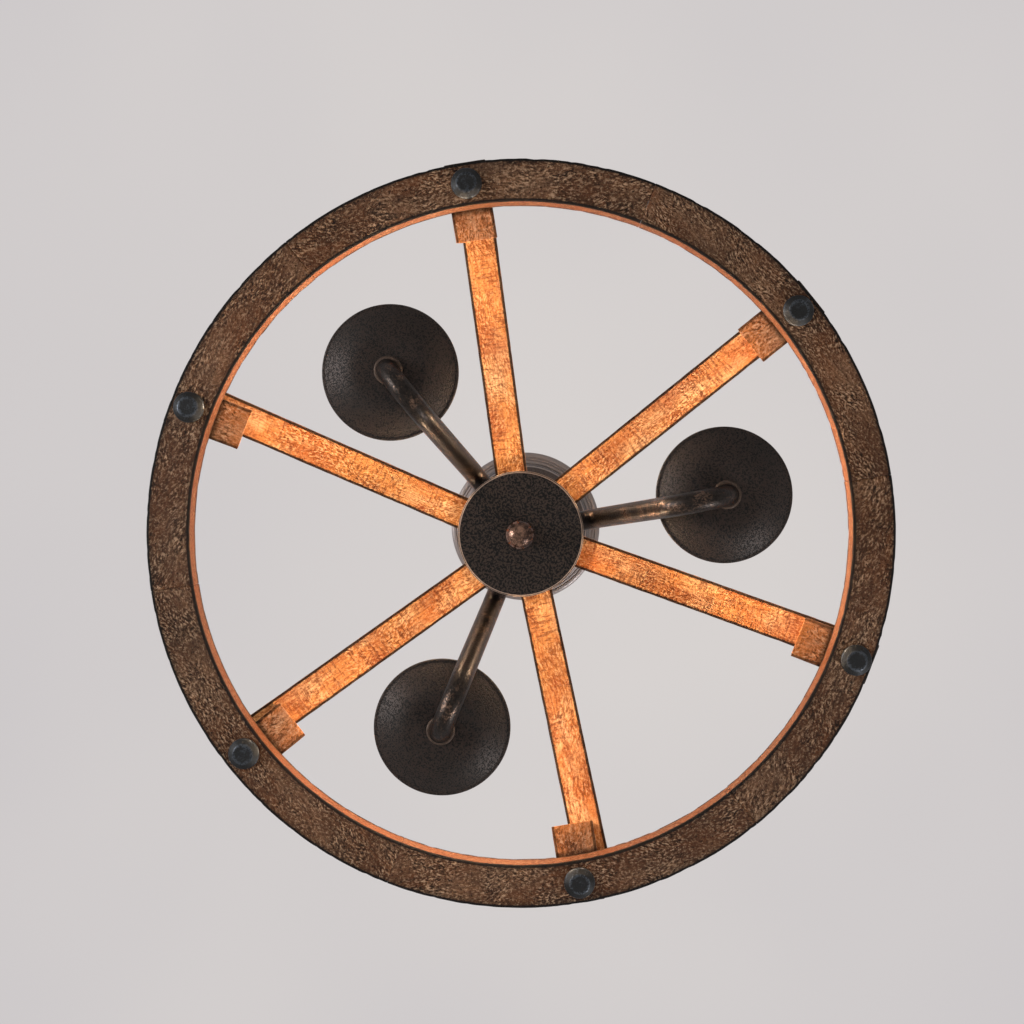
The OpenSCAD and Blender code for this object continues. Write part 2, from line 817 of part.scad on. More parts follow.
// Stud on the cap's floor with four straight filaments between two rings
module filament(k) {
  stud_low = cap_low + 4.5;
  filament_d = 1.6;
  cage_r = 2.6;
  hoop_t = 1;
  color([1, 0.75, 0.35])
    at_lamp(k) {
      translate([0, 0, stud_low]) cylinder(d = 3, h = stud_top - stud_low);
      for (z = [stud_top - hoop_t, stud_top + filament_l])
        translate([0, 0, z]) cylinder(r = cage_r + 1, h = hoop_t);
      for (a = [0 : 90 : 270])
        rotate([0, 0, a]) translate([cage_r, 0, stud_top]) cylinder(d = filament_d, h = filament_l);
    }
}

// ---- ceiling end ---------------------------------------------------------

// Stepped canopy: a return flange on the ceiling, a grooved band and a deep pan
module canopy() {
  r = canopy_d / 2;
  pan_r = r - canopy_band;
  t = canopy_t;
  hole_r = stem_d / 2 + end_gap;
  band_z = 7;
  flange_w = 3.5;
  groove_w = 0.5;
  wall_up = 6;
  turn_in = 6;
  turn_up = 1.5;
  floor_in = 12;
  color(bronze)
    difference() {
      rotate_extrude()
        polygon([
          [r - flange_w, 0], [r, 0], [r, -band_z + 2], [r - 2, -band_z],
          [pan_r + 0.5, -band_z - 1.5], [pan_r, -band_z - 2.5],
          [pan_r - 1, -canopy_h + wall_up], [pan_r - turn_in, -canopy_h + turn_up],
          [pan_r - floor_in, -canopy_h], [hole_r, -canopy_h],
          [hole_r, -canopy_h + t], [pan_r - floor_in, -canopy_h + t],
          [pan_r - turn_in - t / 2, -canopy_h + turn_up + t],
          [pan_r - 1 - t, -canopy_h + wall_up + t / 2],
          [pan_r - t, -band_z - 2], [pan_r - 0.5, -band_z - 0.6],
          [r - 2.4, -band_z + t], [r - t, -band_z + 2.4], [r - t, -t], [r - flange_w, -t]
        ]);
      for (groove = [0.35, 0.65])
        translate([0, 0, -band_z - 0.75 - 1.5 * (0.5 - abs(groove - 0.5)) + 0.2])
          ring(pan_r + canopy_band * groove + groove_w, pan_r + canopy_band * groove, groove_w);
    }
}

// Collar that holds the canopy up on the stem
module canopy_collar() {
  r = canopy_collar_d / 2;
  bore_r = stem_d / 2 + run_gap;
  h = canopy_collar_h;
  color(bronze)
    translate([0, 0, -canopy_h - h])
      rotate_extrude()
        polygon([
          [bore_r, 0], [r - 3, 0], [r - 1.5, 2], [r - 1.5, h - 4],
          [r, h - 2.5], [r, h], [bore_r, h]
        ]);
}

// Strap that screws to the ceiling box and carries the lamp pipe
module crossbar() {
  hole_l = slot_l - slot_w;
  color(zinc)
    translate([0, 0, -bar_t])
      difference() {
        intersection() {
          translate([-bar_l / 2, -bar_w / 2, 0]) cube([bar_l, bar_w, bar_t]);
          cylinder(d = bar_l, h = bar_t);
        }
        translate([0, 0, -over]) cylinder(d = pipe_d + 2 * run_gap, h = bar_t + 2 * over);
        for (side = [-1, 1])
          translate([side * slot_spacing / 2, 0, -over]) {
            for (end = [-1, 1])
              translate([end * hole_l / 2, 0, 0]) cylinder(d = slot_w, h = bar_t + 2 * over);
            translate([-hole_l / 2, -slot_w / 2, 0]) cube([hole_l, slot_w, bar_t + 2 * over]);
          }
        translate([ground_x, 0, -over]) cylinder(d = ground_d + 2 * run_gap, h = bar_t + 2 * over);
      }
}

// Green earth screw on the crossbar
module ground_screw() {
  below = 7;
  head_h = 2.5;
  color([0.15, 0.5, 0.25])
    translate([ground_x, 0, -bar_t - below]) {
      cylinder(d = ground_d, h = bar_t + below);
      cylinder(d = ground_d * 2, h = head_h, $fn = 6);
    }
}

felloe(0);  // felloe_1
felloe(1);  // felloe_2
felloe(2);  // felloe_3
felloe(3);  // felloe_4
felloe(4);  // felloe_5
felloe(5);  // felloe_6
felloe_dowels();
rim_bolts();
spoke(0);  // spoke_1
spoke(1);  // spoke_2
spoke(2);  // spoke_3
spoke(3);  // spoke_4
spoke(4);  // spoke_5
spoke(5);  // spoke_6
block(0);  // block_1
block(1);  // block_2
block(2);  // block_3
block(3);  // block_4
block(4);  // block_5
block(5);  // block_6
spoke_screws();
clamp_screws();
clamp_lower();
clamp_upper();
hub_drum();
hub_cover();
finial();
lamp_pipe();
stem_tube();
spacer_tube();
lock_nuts();
supply_lead();
arm(0);  // arm_1
arm(1);  // arm_2
arm(2);  // arm_3
arm_collars();
arm_wires();
splice_sleeves();
dish(0);  // dish_1
dish(1);  // dish_2
dish(2);  // dish_3
dish_rings();
dish_nipples();
lamp_cups();
socket(0);  // socket_1
socket(1);  // socket_2
socket(2);  // socket_3
bulb_glass(0);  // bulb_glass_1
bulb_glass(1);  // bulb_glass_2
bulb_glass(2);  // bulb_glass_3
bulb_cap(0);  // bulb_cap_1
bulb_cap(1);  // bulb_cap_2
bulb_cap(2);  // bulb_cap_3
filament(0);  // filament_1
filament(1);  // filament_2
filament(2);  // filament_3
canopy();
canopy_collar();
crossbar();
ground_screw();
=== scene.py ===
import math
import random

import bmesh
import bpy
from mathutils import Matrix, Vector, noise


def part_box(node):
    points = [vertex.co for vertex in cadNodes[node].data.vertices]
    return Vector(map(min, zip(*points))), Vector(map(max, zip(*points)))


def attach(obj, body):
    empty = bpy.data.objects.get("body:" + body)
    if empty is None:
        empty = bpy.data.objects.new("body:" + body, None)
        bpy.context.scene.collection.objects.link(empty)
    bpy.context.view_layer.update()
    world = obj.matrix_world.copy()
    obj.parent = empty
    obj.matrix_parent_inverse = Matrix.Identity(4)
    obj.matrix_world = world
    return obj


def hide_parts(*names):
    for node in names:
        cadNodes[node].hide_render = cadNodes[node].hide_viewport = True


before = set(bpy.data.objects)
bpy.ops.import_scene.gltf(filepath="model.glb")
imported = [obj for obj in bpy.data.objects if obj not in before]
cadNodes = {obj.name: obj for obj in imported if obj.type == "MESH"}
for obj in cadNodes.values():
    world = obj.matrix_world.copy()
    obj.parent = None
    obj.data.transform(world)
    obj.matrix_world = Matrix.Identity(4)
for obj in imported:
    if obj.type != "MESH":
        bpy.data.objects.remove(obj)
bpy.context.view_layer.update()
mm = 0.001
stations = 6
lamps = 3
random.seed(14)
print("frame loaded:", len(cadNodes), "nodes")

# Camera: straight up from below the wheel, a little off its axis

cameraView = {
    "belowRim": 0.868,  # from the lens up to the rim's underside
    "turn": 39.0,  # degrees from +X to the picture's right-hand side
    "right": 0.0141,  # where the lens stands off the axis, in picture directions
    "up": 0.0218,
    "imageSize": 1024,
    "focalPixels": 1282,
    "straightUpPixel": (542, 501),  # what lies plumb above the lens shows here
    "sensor": 36.0,
    "clip": (0.01, 60.0),
}


def addObject(name, data):
    made = bpy.data.objects.new(name, data)
    bpy.context.scene.collection.objects.link(made)
    return made


def pictureDirections():
    turn = math.radians(cameraView["turn"])
    right = Vector((math.cos(turn), math.sin(turn), 0))
    up = Vector((math.sin(turn), -math.cos(turn), 0))
    return right, up


def makeCamera():
    right, up = pictureDirections()
    size = cameraView["imageSize"]
    pixelX, pixelY = cameraView["straightUpPixel"]
    data = bpy.data.cameras.new("photoCamera")
    data.sensor_width = cameraView["sensor"]
    data.lens = cameraView["focalPixels"] / size * cameraView["sensor"]
    data.shift_x = (size / 2 - pixelX) / size
    data.shift_y = (pixelY - size / 2) / size
    data.clip_start, data.clip_end = cameraView["clip"]
    camera = addObject("photoCamera", data)
    place = right * cameraView["right"] + up * cameraView["up"]
    place.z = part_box("felloe_1")[0].z - cameraView["belowRim"]
    axes = Matrix((right, up, Vector((0, 0, -1)))).transposed()
    camera.matrix_world = Matrix.Translation(place) @ axes.to_4x4()
    bpy.context.scene.camera = camera


makeCamera()
print("camera placed")

# Shader helpers


def rgb(red, green, blue):
    levels = []
    for value in (red, green, blue):
        share = value / 255
        levels.append(share / 12.92 if share <= 0.04045 else ((share + 0.055) / 1.055) ** 2.4)
    return (*levels, 1.0)


def addNode(tree, kind, inputs=None, **settings):
    node = tree.nodes.new("ShaderNode" + kind)
    for name, value in settings.items():
        setattr(node, name, value)
    for name, value in (inputs or {}).items():
        connect(tree, value, node.inputs[name])
    return node


def connect(tree, value, socket):
    if isinstance(value, bpy.types.NodeSocket):
        tree.links.new(value, socket)
    else:
        socket.default_value = value


def blend(tree, factor, first, second, mode="MIX"):
    node = addNode(tree, "Mix", data_type="RGBA", blend_type=mode, clamp_factor=True)
    connect(tree, factor, node.inputs[0])
    connect(tree, first, node.inputs[6])
    connect(tree, second, node.inputs[7])
    return node.outputs[2]


def sums(tree, operation, first, second=0.0, clamp=False):
    node = addNode(tree, "Math", {0: first, 1: second}, operation=operation, use_clamp=clamp)
    return node.outputs[0]


def remap(tree, value, low, high, toLow=0.0, toHigh=1.0):
    ends = {"From Min": low, "From Max": high, "To Min": toLow, "To Max": toHigh}
    node = addNode(tree, "MapRange", {"Value": value, **ends}, clamp=True)
    return node.outputs["Result"]


def noiseAt(tree, place, scale, detail=2.0, rough=0.5, seed=0.0, twist=0.0):
    ways = {"Vector": place, "W": seed, "Scale": scale, "Detail": detail, "Roughness": rough}
    node = addNode(tree, "TexNoise", {**ways, "Distortion": twist}, noise_dimensions="4D")
    return node.outputs[0]


def stretched(tree, place, x, y, z):
    scale = addNode(tree, "CombineXYZ", {"X": x, "Y": y, "Z": z}).outputs[0]
    node = addNode(tree, "VectorMath", {0: place, 1: scale}, operation="MULTIPLY")
    return node.outputs[0]


# Every group has a Place input; inputs holds the others with their first values
def newGroup(name, inputs, outputs):
    group = bpy.data.node_groups.new(name, "ShaderNodeTree")
    group.interface.new_socket(name="Place", in_out="INPUT", socket_type="NodeSocketVector")
    for label, value in inputs.items():
        socket = group.interface.new_socket(name=label, in_out="INPUT",
                                            socket_type="NodeSocketFloat")
        socket.default_value = value
    for label in outputs:
        group.interface.new_socket(name=label, in_out="OUTPUT", socket_type="NodeSocketFloat")
    start = group.nodes.new("NodeGroupInput").outputs
    end = group.nodes.new("NodeGroupOutput").inputs
    return group, start, end


def useGroup(tree, group, **values):
    node = tree.nodes.new("ShaderNodeGroup")
    node.node_tree = group
    for name, value in values.items():
        connect(tree, value, node.inputs[name])
    return node.outputs


def mixShaders(tree, factor, first, second):
    node = addNode(tree, "MixShader")
    connect(tree, factor, node.inputs[0])
    connect(tree, first.outputs[0], node.inputs[1])
    connect(tree, second.outputs[0], node.inputs[2])
    return node


def showShader(tree, shader):
    connect(tree, shader.outputs[0], tree.nodes["Material Output"].inputs["Surface"])


# Shared effects; a cut is where a noise starts to show and where it shows in full

strokeCuts = {"Light": (0.53, 0.62), "Dark": (0.48, 0.40)}


# Short chisel and wire-brush strokes that all run one way
def makeStrokes():
    inputs = {"Along": 250.0, "Across": 900.0, "Turn": 0.0, "Seed": 0.0}
    group, start, end = newGroup("Short strokes", inputs, ["Light", "Dark"])
    ways = {"Vector": start["Place"], "Angle": start["Turn"]}
    rotated = addNode(group, "VectorRotate", ways, rotation_type="Z_AXIS").outputs[0]
    place = stretched(group, rotated, start["Along"], start["Across"], start["Across"])
    marks = noiseAt(group, place, 1.0, 2.5, 0.6, start["Seed"])
    for label, cut in strokeCuts.items():
        connect(group, remap(group, marks, *cut), end[label])
    return group


distressSetup = {
    "turns": (0.05, 0.4, -0.35),  # of the three layers of strokes, in radians
    "secondCut": (0.50, 0.54),  # patches in which the second or third layer takes over
    "thirdCut": (0.53, 0.57),
    "seeds": (5.0, 9.0, 23.0),
    "density": (0.42, 0.58, 0.3, 1.0),
    "gritLight": (0.57, 0.64, 0.0, 0.7),
    "gritDark": (0.43, 0.36),
    "lightHeight": 0.5,
}


# Three directions of strokes, which take turns in patches, over an even grit
def makeDistress(strokes):
    inputs = {"Along": 250.0, "Across": 900.0, "Patch": 60.0, "Grit": 600.0}
    group, start, end = newGroup("Distressed surface", inputs, ["Light", "Dark", "Height"])
    layers = [
        useGroup(group, strokes, Place=start["Place"], Along=start["Along"],
                 Across=start["Across"], Turn=turn, Seed=3.0 * index)
        for index, turn in enumerate(distressSetup["turns"])
    ]
    patches = [noiseAt(group, start["Place"], start["Patch"], 2.0, 0.5, seed)
               for seed in distressSetup["seeds"]]
    second = remap(group, patches[0], *distressSetup["secondCut"])
    third = remap(group, patches[1], *distressSetup["thirdCut"])
    dense = remap(group, patches[2], *distressSetup["density"])
    grit = noiseAt(group, start["Place"], start["Grit"], 3.0, 0.7, 17.0)
    made = {}
    for label in ("Light", "Dark"):
        first = blend(group, second, layers[0][label], layers[1][label])
        mark = sums(group, "MULTIPLY", blend(group, third, first, layers[2][label]), dense)
        even = remap(group, grit, *distressSetup["grit" + label])
        made[label] = sums(group, "MAXIMUM", mark, even)
        connect(group, made[label], end[label])
    half = sums(group, "MULTIPLY", made["Light"], distressSetup["lightHeight"])
    connect(group, sums(group, "SUBTRACT", half, made["Dark"]), end["Height"])
    return group


mottleSetup = {"along": 0.5, "seeds": {"Warm": 11.0, "Pale": 15.0, "Deep": 19.0},
               "cut": (0.48, 0.66)}


# Soft patches of stain
def makeMottle():
    group, start, end = newGroup("Mottled stain", {"Scale": 40.0}, ["Warm", "Pale", "Deep"])
    longWays = stretched(group, start["Place"], mottleSetup["along"], 1.0, 1.0)
    for label, seed in mottleSetup["seeds"].items():
        patches = noiseAt(group, longWays, start["Scale"], 4.0, 0.6, seed, 0.4)
        connect(group, remap(group, patches, *mottleSetup["cut"]), end[label])
    return group


grainSetup = {
    "bendScale": (9.0, 30.0, 30.0),
    "bend": 16.0,
    "wave": 6.283,
    "ringCut": (0.1, 0.95),
    "patchScale": 30.0,
    "patchCut": (0.38, 0.6, 0.2),
    "lineScale": 30.0,
    "poreScale": (75.0, 1500.0, 1500.0),
    "poreCut": (0.60, 0.74),
}


# Long growth lines and open pores along the board
def makeGrain():
    group, start, end = newGroup("Wood grain", {"Lines": 260.0}, ["Tone", "Pores", "Rings"])
    place = start["Place"]
    bendPlace = stretched(group, place, *grainSetup["bendScale"])
    bent = noiseAt(group, bendPlace, 1.0, 3.0, 0.55, 40.0)
    across = addNode(group, "SeparateXYZ", {"Vector": place}).outputs["Y"]
    phase = sums(group, "ADD", sums(group, "MULTIPLY", across, start["Lines"]),
                 sums(group, "MULTIPLY", bent, grainSetup["bend"]))
    wave = sums(group, "SINE", sums(group, "MULTIPLY", phase, grainSetup["wave"]))
    cloud = noiseAt(group, place, grainSetup["patchScale"], 2.0, 0.5, 44.0)
    patch = remap(group, cloud, *grainSetup["patchCut"])
    rings = remap(group, wave, *grainSetup["ringCut"])
    connect(group, sums(group, "MULTIPLY", rings, patch), end["Rings"])
    lines = stretched(group, place, grainSetup["lineScale"], start["Lines"], start["Lines"])
    connect(group, noiseAt(group, lines, 1.0, 3.0, 0.6, 0.0, 0.4), end["Tone"])
    pores = noiseAt(group, stretched(group, place, *grainSetup["poreScale"]), 1.0, 1.0)
    connect(group, remap(group, pores, *grainSetup["poreCut"]), end["Pores"])
    return group


sawSetup = {
    "wobbleScale": 130.0,
    "wobble": 0.005,  # how far the rings stray, in metres
    "ringWave": 3600.0,
    "ringCut": (0.0, 0.6),
    "ringFade": (0.006, 0.014, 1.0, 0.0),
    "coreFade": (0.002, 0.008, 1.0, 0.0),
    "chatterAcross": 110.0,
    "chatterCut": (0.51, 0.58),
    "patchScale": 34.0,
    "patchCut": (0.42, 0.54, 0.2),
}


# Rings round a few knots, and short chatter lines across the board
def makeSawn():
    inputs = {"Knots": 20.0, "Chatter": 560.0}
    group, start, end = newGroup("Sawn face", inputs, ["Rings", "Core", "Chatter"])
    place = start["Place"]
    ways = {"Vector": place, "Scale": sawSetup["wobbleScale"], "Detail": 2.0}
    stray = addNode(group, "TexNoise", ways).outputs["Color"]
    shift = addNode(group, "VectorMath", {0: stray, 1: (sawSetup["wobble"],) * 3},
                    operation="MULTIPLY").outputs[0]
    moved = addNode(group, "VectorMath", {0: place, 1: shift}, operation="ADD").outputs[0]
    ways = {"Vector": moved, "Scale": start["Knots"]}
    near = addNode(group, "TexVoronoi", ways).outputs["Distance"]
    away = sums(group, "DIVIDE", near, start["Knots"])
    wave = sums(group, "SINE", sums(group, "MULTIPLY", away, sawSetup["ringWave"]))
    fade = remap(group, away, *sawSetup["ringFade"])
    rings = remap(group, wave, *sawSetup["ringCut"])
    connect(group, sums(group, "MULTIPLY", rings, fade), end["Rings"])
    connect(group, remap(group, away, *sawSetup["coreFade"]), end["Core"])
    thin = sawSetup["chatterAcross"]
    marks = noiseAt(group, stretched(group, place, start["Chatter"], thin, thin), 1.0, 2.0, 0.6)
    cloud = noiseAt(group, place, sawSetup["patchScale"], 2.0, 0.5, 31.0)
    lines = remap(group, marks, *sawSetup["chatterCut"])
    patch = remap(group, cloud, *sawSetup["patchCut"])
    connect(group, sums(group, "MULTIPLY", lines, patch), end["Chatter"])
    return group


raggedEdgeSetup = {"scale": 320.0, "cut": (0.22, 0.6)}


# Ragged band along the edges, from the mesh's own edge mask
def makeRaggedEdge():
    group, start, end = newGroup("Ragged edge band", {"Edge": 0.0, "Ragged": 0.8}, ["Mask"])
    rough = noiseAt(group, start["Place"], raggedEdgeSetup["scale"], 3.0, 0.6)
    shift = sums(group, "MULTIPLY", sums(group, "SUBTRACT", rough, 0.5), start["Ragged"])
    level = sums(group, "ADD", start["Edge"], shift)
    connect(group, remap(group, level, *raggedEdgeSetup["cut"]), end["Mask"])
    return group


speckleSetup = {"start": 0.62, "coverGain": 0.24, "soft": 0.06, "toneScale": 35.0,
                "gritScale": 2200.0}


# Fine dark specks in a matt coat
def makeSpeckle():
    inputs = {"Scale": 700.0, "Cover": 0.5}
    group, start, end = newGroup("Speckled coat", inputs, ["Specks", "Tone", "Height"])
    place = start["Place"]
    fine = noiseAt(group, place, start["Scale"], 1.5, 0.5, 0.0, 0.6)
    cover = sums(group, "MULTIPLY", start["Cover"], speckleSetup["coverGain"])
    low = sums(group, "SUBTRACT", speckleSetup["start"], cover)
    specks = remap(group, fine, low, sums(group, "ADD", low, speckleSetup["soft"]))
    connect(group, specks, end["Specks"])
    connect(group, noiseAt(group, place, speckleSetup["toneScale"], 3.0, 0.6, 4.0), end["Tone"])
    grit = noiseAt(group, place, speckleSetup["gritScale"], 1.0, 0.5, 8.0)
    connect(group, sums(group, "SUBTRACT", grit, specks), end["Height"])
    return group


rubSetup = {"cloudScale": 90.0, "fineScale": 900.0, "fineGain": 0.45, "edgeGain": 0.25,
            "shareGain": 0.3, "cut": (0.80, 0.98)}


# Where a dark patina is rubbed through to the bronze under it
def makeRubbed():
    group, start, end = newGroup("Rubbed patina", {"Edge": 0.0, "Share": 0.5}, ["Bare"])
    level = noiseAt(group, start["Place"], rubSetup["cloudScale"], 4.0, 0.65, 2.0, 0.3)
    fine = noiseAt(group, start["Place"], rubSetup["fineScale"], 2.0, 0.6, 6.0)
    for part, gain in ((fine, "fineGain"), (start["Edge"], "edgeGain"),
                       (start["Share"], "shareGain")):
        level = sums(group, "ADD", level, sums(group, "MULTIPLY", part, rubSetup[gain]))
    connect(group, remap(group, level, *rubSetup["cut"]), end["Bare"])
    return group


dustSetup = {"colour": rgb(150, 140, 128), "upCut": (0.55, 0.95), "patchScale": 150.0,
             "patchCut": (0.35, 0.75)}


# Dust that settles on what faces up
def makeDust():
    group, start, end = newGroup("Settled dust", {"Amount": 0.5}, ["Mask"])
    normal = addNode(group, "NewGeometry").outputs["Normal"]
    up = addNode(group, "SeparateXYZ", {"Vector": normal}).outputs["Z"]
    patches = noiseAt(group, start["Place"], dustSetup["patchScale"], 4.0, 0.65, 21.0)
    share = sums(group, "MULTIPLY", remap(group, up, *dustSetup["upCut"]),
                 remap(group, patches, *dustSetup["patchCut"]))
    connect(group, sums(group, "MULTIPLY", share, start["Amount"]), end["Mask"])
    return group


strokes = makeStrokes()
distress = makeDistress(strokes)
mottle = makeMottle()
grainLines = makeGrain()
sawn = makeSawn()
raggedEdge = makeRaggedEdge()
speckle = makeSpeckle()
rubbed = makeRubbed()
dust = makeDust()
print("shader groups made")

# Materials


def newMaterial(name):
    material = bpy.data.materials.new(name)
    material.use_nodes = True
    tree = material.node_tree
    shader = tree.nodes["Principled BSDF"]
    place = addNode(tree, "Attribute", attribute_name="grain").outputs["Vector"]
    edge = addNode(tree, "Attribute", attribute_name="edge").outputs["Fac"]
    return material, tree, shader, place, edge


def addBump(tree, shader, height, depth, strength=1.0):
    ways = {"Strength": strength, "Distance": depth, "Height": height}
    bump = addNode(tree, "Bump", ways)
    connect(tree, bump.outputs[0], shader.inputs["Normal"])


def dusty(tree, place, amount, colour):
    dirt = useGroup(tree, dust, Place=place, Amount=amount)["Mask"]
    return blend(tree, dirt, colour, dustSetup["colour"])


woodFinish = {
    "toneCut": (0.42, 0.6),
    "shade": 0.92,
    "roughRise": 0.1,
    "markHeights": (-1.0, 0.5),
    "lineHeight": 0.6,
    "poreHeight": -0.3,
}


def woodMaterial(name, look):
    material, tree, shader, place, edge = newMaterial(name)
    # The tone attribute is a mask of painted light and shade, which blends in the painted light
    # tone
    tone = addNode(tree, "Attribute", attribute_name="tone").outputs["Fac"]
    shade = addNode(tree, "Attribute", attribute_name="shade").outputs["Fac"]
    stain = useGroup(tree, mottle, Place=place, Scale=look["patchScale"])
    grain = useGroup(tree, grainLines, Place=place, Lines=look["grainLines"])
    marks = useGroup(tree, distress, Place=place, Along=look["markAlong"],
                     Across=look["markAcross"], Patch=look["markPatch"], Grit=look["grit"])
    saw = useGroup(tree, sawn, Place=place)
    edgeBand = useGroup(tree, raggedEdge, Edge=edge, Place=place, Ragged=look["ragged"])["Mask"]
    calm = sums(tree, "SUBTRACT", 1.0, sums(tree, "MULTIPLY", tone, look["calm"]))
    layers = [
        (stain["Warm"], "warmShare", "warm"),
        (stain["Pale"], "paleShare", "pale"),
        (stain["Deep"], "deepShare", "deep"),
        (remap(tree, grain["Tone"], *woodFinish["toneCut"]), "grainShare", "deep"),
        (grain["Rings"], "lineShare", "deep"),
        (grain["Pores"], "poreShare", "gouge"),
        (saw["Rings"], "ringShare", "deep"),
        (saw["Core"], "ringShare", "deep"),
        (saw["Chatter"], "chatterShare", "gouge"),
        (marks["Light"], "fleckShare", "fleck"),
        (marks["Dark"], "gougeShare", "gouge"),
    ]
    colour = blend(tree, tone, look["base"], look["paintedLightTone"])
    for mask, share, tint in layers:
        amount = sums(tree, "MULTIPLY", sums(tree, "MULTIPLY", mask, look[share]), calm)
        colour = blend(tree, amount, colour, look[tint])
    for mask, share in ((shade, woodFinish["shade"]), (edgeBand, look["edgeShare"])):
        colour = blend(tree, sums(tree, "MULTIPLY", mask, share), colour, look["edge"])
    connect(tree, dusty(tree, place, look["dust"], colour), shader.inputs["Base Color"])
    rough = remap(tree, marks["Height"], *woodFinish["markHeights"],
                  look["rough"] + woodFinish["roughRise"], look["rough"])
    connect(tree, rough, shader.inputs["Roughness"])
    shader.inputs["Specular IOR Level"].default_value = look["shine"]
    lines = sums(tree, "MULTIPLY", grain["Tone"], woodFinish["lineHeight"])
    pores = sums(tree, "MULTIPLY", grain["Pores"], woodFinish["poreHeight"])
    height = sums(tree, "ADD", marks["Height"], sums(tree, "ADD", lines, pores))
    addBump(tree, shader, height, look["bump"])
    return material


coatFinish = {"ragged": 0.5, "toneCut": (0.35, 0.65), "roughRise": 0.15}


def coatMaterial(name, look):
    material, tree, shader, place, edge = newMaterial(name)
    coat = useGroup(tree, speckle, Place=place, Scale=look["speckScale"],
                    Cover=look["speckCover"])
    # The edge band is rubbed wear on most coats; on the hub cover it is a painted highlight along
    # the rim, on the canopy a painted reflection on the rims and grooves
    edgeBand = useGroup(tree, raggedEdge, Edge=edge, Place=place, Ragged=coatFinish["ragged"])["Mask"]
    tone = remap(tree, coat["Tone"], *coatFinish["toneCut"])
    colour = blend(tree, tone, look["base"], look["warm"])
    for mask, share, tint in ((coat["Specks"], "speckShare", "speck"), (edgeBand, "edgeShare", "edge")):
        colour = blend(tree, sums(tree, "MULTIPLY", mask, look[share]), colour, look[tint])
    connect(tree, dusty(tree, place, look["dust"], colour), shader.inputs["Base Color"])
    rough = remap(tree, coat["Specks"], 0.0, 1.0, look["rough"],
                  look["rough"] + coatFinish["roughRise"])
    connect(tree, rough, shader.inputs["Roughness"])
    shader.inputs["Metallic"].default_value = look["metal"]
    shader.inputs["Specular IOR Level"].default_value = look["shine"]
    addBump(tree, shader, coat["Height"], look["bump"])
    return material


bronzeFinish = {"speckScale": 800.0, "roughRise": 0.12}


def bronzeMaterial(name, look):
    material, tree, shader, place, edge = newMaterial(name)
    bare = useGroup(tree, rubbed, Place=place, Edge=edge, Share=look["share"])["Bare"]
    coat = useGroup(tree, speckle, Place=place, Scale=bronzeFinish["speckScale"])
    colour = blend(tree, bare, look["patina"], look["bare"])
    specks = sums(tree, "MULTIPLY", coat["Specks"], look["speckShare"])
    colour = blend(tree, specks, colour, look["speck"])
    connect(tree, dusty(tree, place, look["dust"], colour), shader.inputs["Base Color"])
    rough = remap(tree, bare, 0.0, 1.0, look["rough"] + bronzeFinish["roughRise"], look["rough"])
    connect(tree, rough, shader.inputs["Roughness"])
    metal = remap(tree, bare, 0.0, 1.0, look["metalLow"], look["metalHigh"])
    connect(tree, metal, shader.inputs["Metallic"])
    addBump(tree, shader, coat["Height"], look["bump"])
    return material


platedFinish = {
    "brushScale": (300.0, 300.0, 2600.0),
    "tarnishScale": 120.0,
    "tarnishCut": (0.45, 0.7),
    "edgeShare": 0.3,
    "brushCut": (0.3, 0.7),
    "roughRise": 0.2,
}


# Bare or plated metal with fine brushing and a little tarnish
def platedMaterial(name, look):
    material, tree, shader, place, edge = newMaterial(name)
    brush = noiseAt(tree, stretched(tree, place, *platedFinish["brushScale"]), 1.0, 2.0, 0.6)
    cloud = noiseAt(tree, place, platedFinish["tarnishScale"], 4.0, 0.65, 3.0)
    tarnish = remap(tree, cloud, *platedFinish["tarnishCut"])
    colour = blend(tree, tarnish, look["base"], look["tarnish"])
    edgeBand = sums(tree, "MULTIPLY", edge, platedFinish["edgeShare"])
    connect(tree, blend(tree, edgeBand, colour, look["base"]), shader.inputs["Base Color"])
    rough = remap(tree, brush, *platedFinish["brushCut"], look["rough"],
                  look["rough"] + platedFinish["roughRise"])
    connect(tree, rough, shader.inputs["Roughness"])
    shader.inputs["Metallic"].default_value = look["metal"]
    addBump(tree, shader, brush, look["bump"])
    return material


# On the rim the painted light tone is bulb light painted on the inner wall, lighter and warmer,
# with fewer marks
rimLook = {
    "base": rgb(86, 54, 35), "warm": rgb(96, 54, 27), "pale": rgb(122, 93, 72),
    "deep": rgb(44, 27, 18), "fleck": rgb(188, 158, 130), "gouge": rgb(10, 5, 3),
    "edge": rgb(8, 4, 3), "paintedLightTone": rgb(108, 62, 38), "warmShare": 0.7, "paleShare": 0.6,
    "deepShare": 0.5, "grainShare": 0.4, "lineShare": 0.2, "poreShare": 0.15,
    "fleckShare": 0.72, "gougeShare": 0.95, "ringShare": 0.0, "chatterShare": 0.0,
    "edgeShare": 0.99, "calm": 0.65, "patchScale": 30.0, "grainLines": 340.0,
    "markAlong": 360.0, "markAcross": 820.0, "markPatch": 48.0, "grit": 560.0,
    "ragged": 0.6, "rough": 0.6, "shine": 0.15, "bump": 0.0003, "dust": 0.35,
}
# On the spokes the painted light tone is painted shade, a little darker towards the rim
spokeLook = {
    **rimLook,
    "base": rgb(190, 128, 72), "warm": rgb(186, 104, 50), "pale": rgb(220, 180, 134),
    "deep": rgb(118, 50, 18), "fleck": rgb(228, 192, 146), "gouge": rgb(84, 32, 12),
    "edge": rgb(16, 7, 4), "paintedLightTone": rgb(180, 118, 66), "grainShare": 0.45,
    "lineShare": 0.55, "fleckShare": 0.45, "gougeShare": 0.65, "ringShare": 0.85,
    "chatterShare": 0.65, "deepShare": 0.65, "paleShare": 0.8, "edgeShare": 0.95,
    "calm": 0.1, "patchScale": 46.0, "grit": 620.0, "grainLines": 430.0,
}
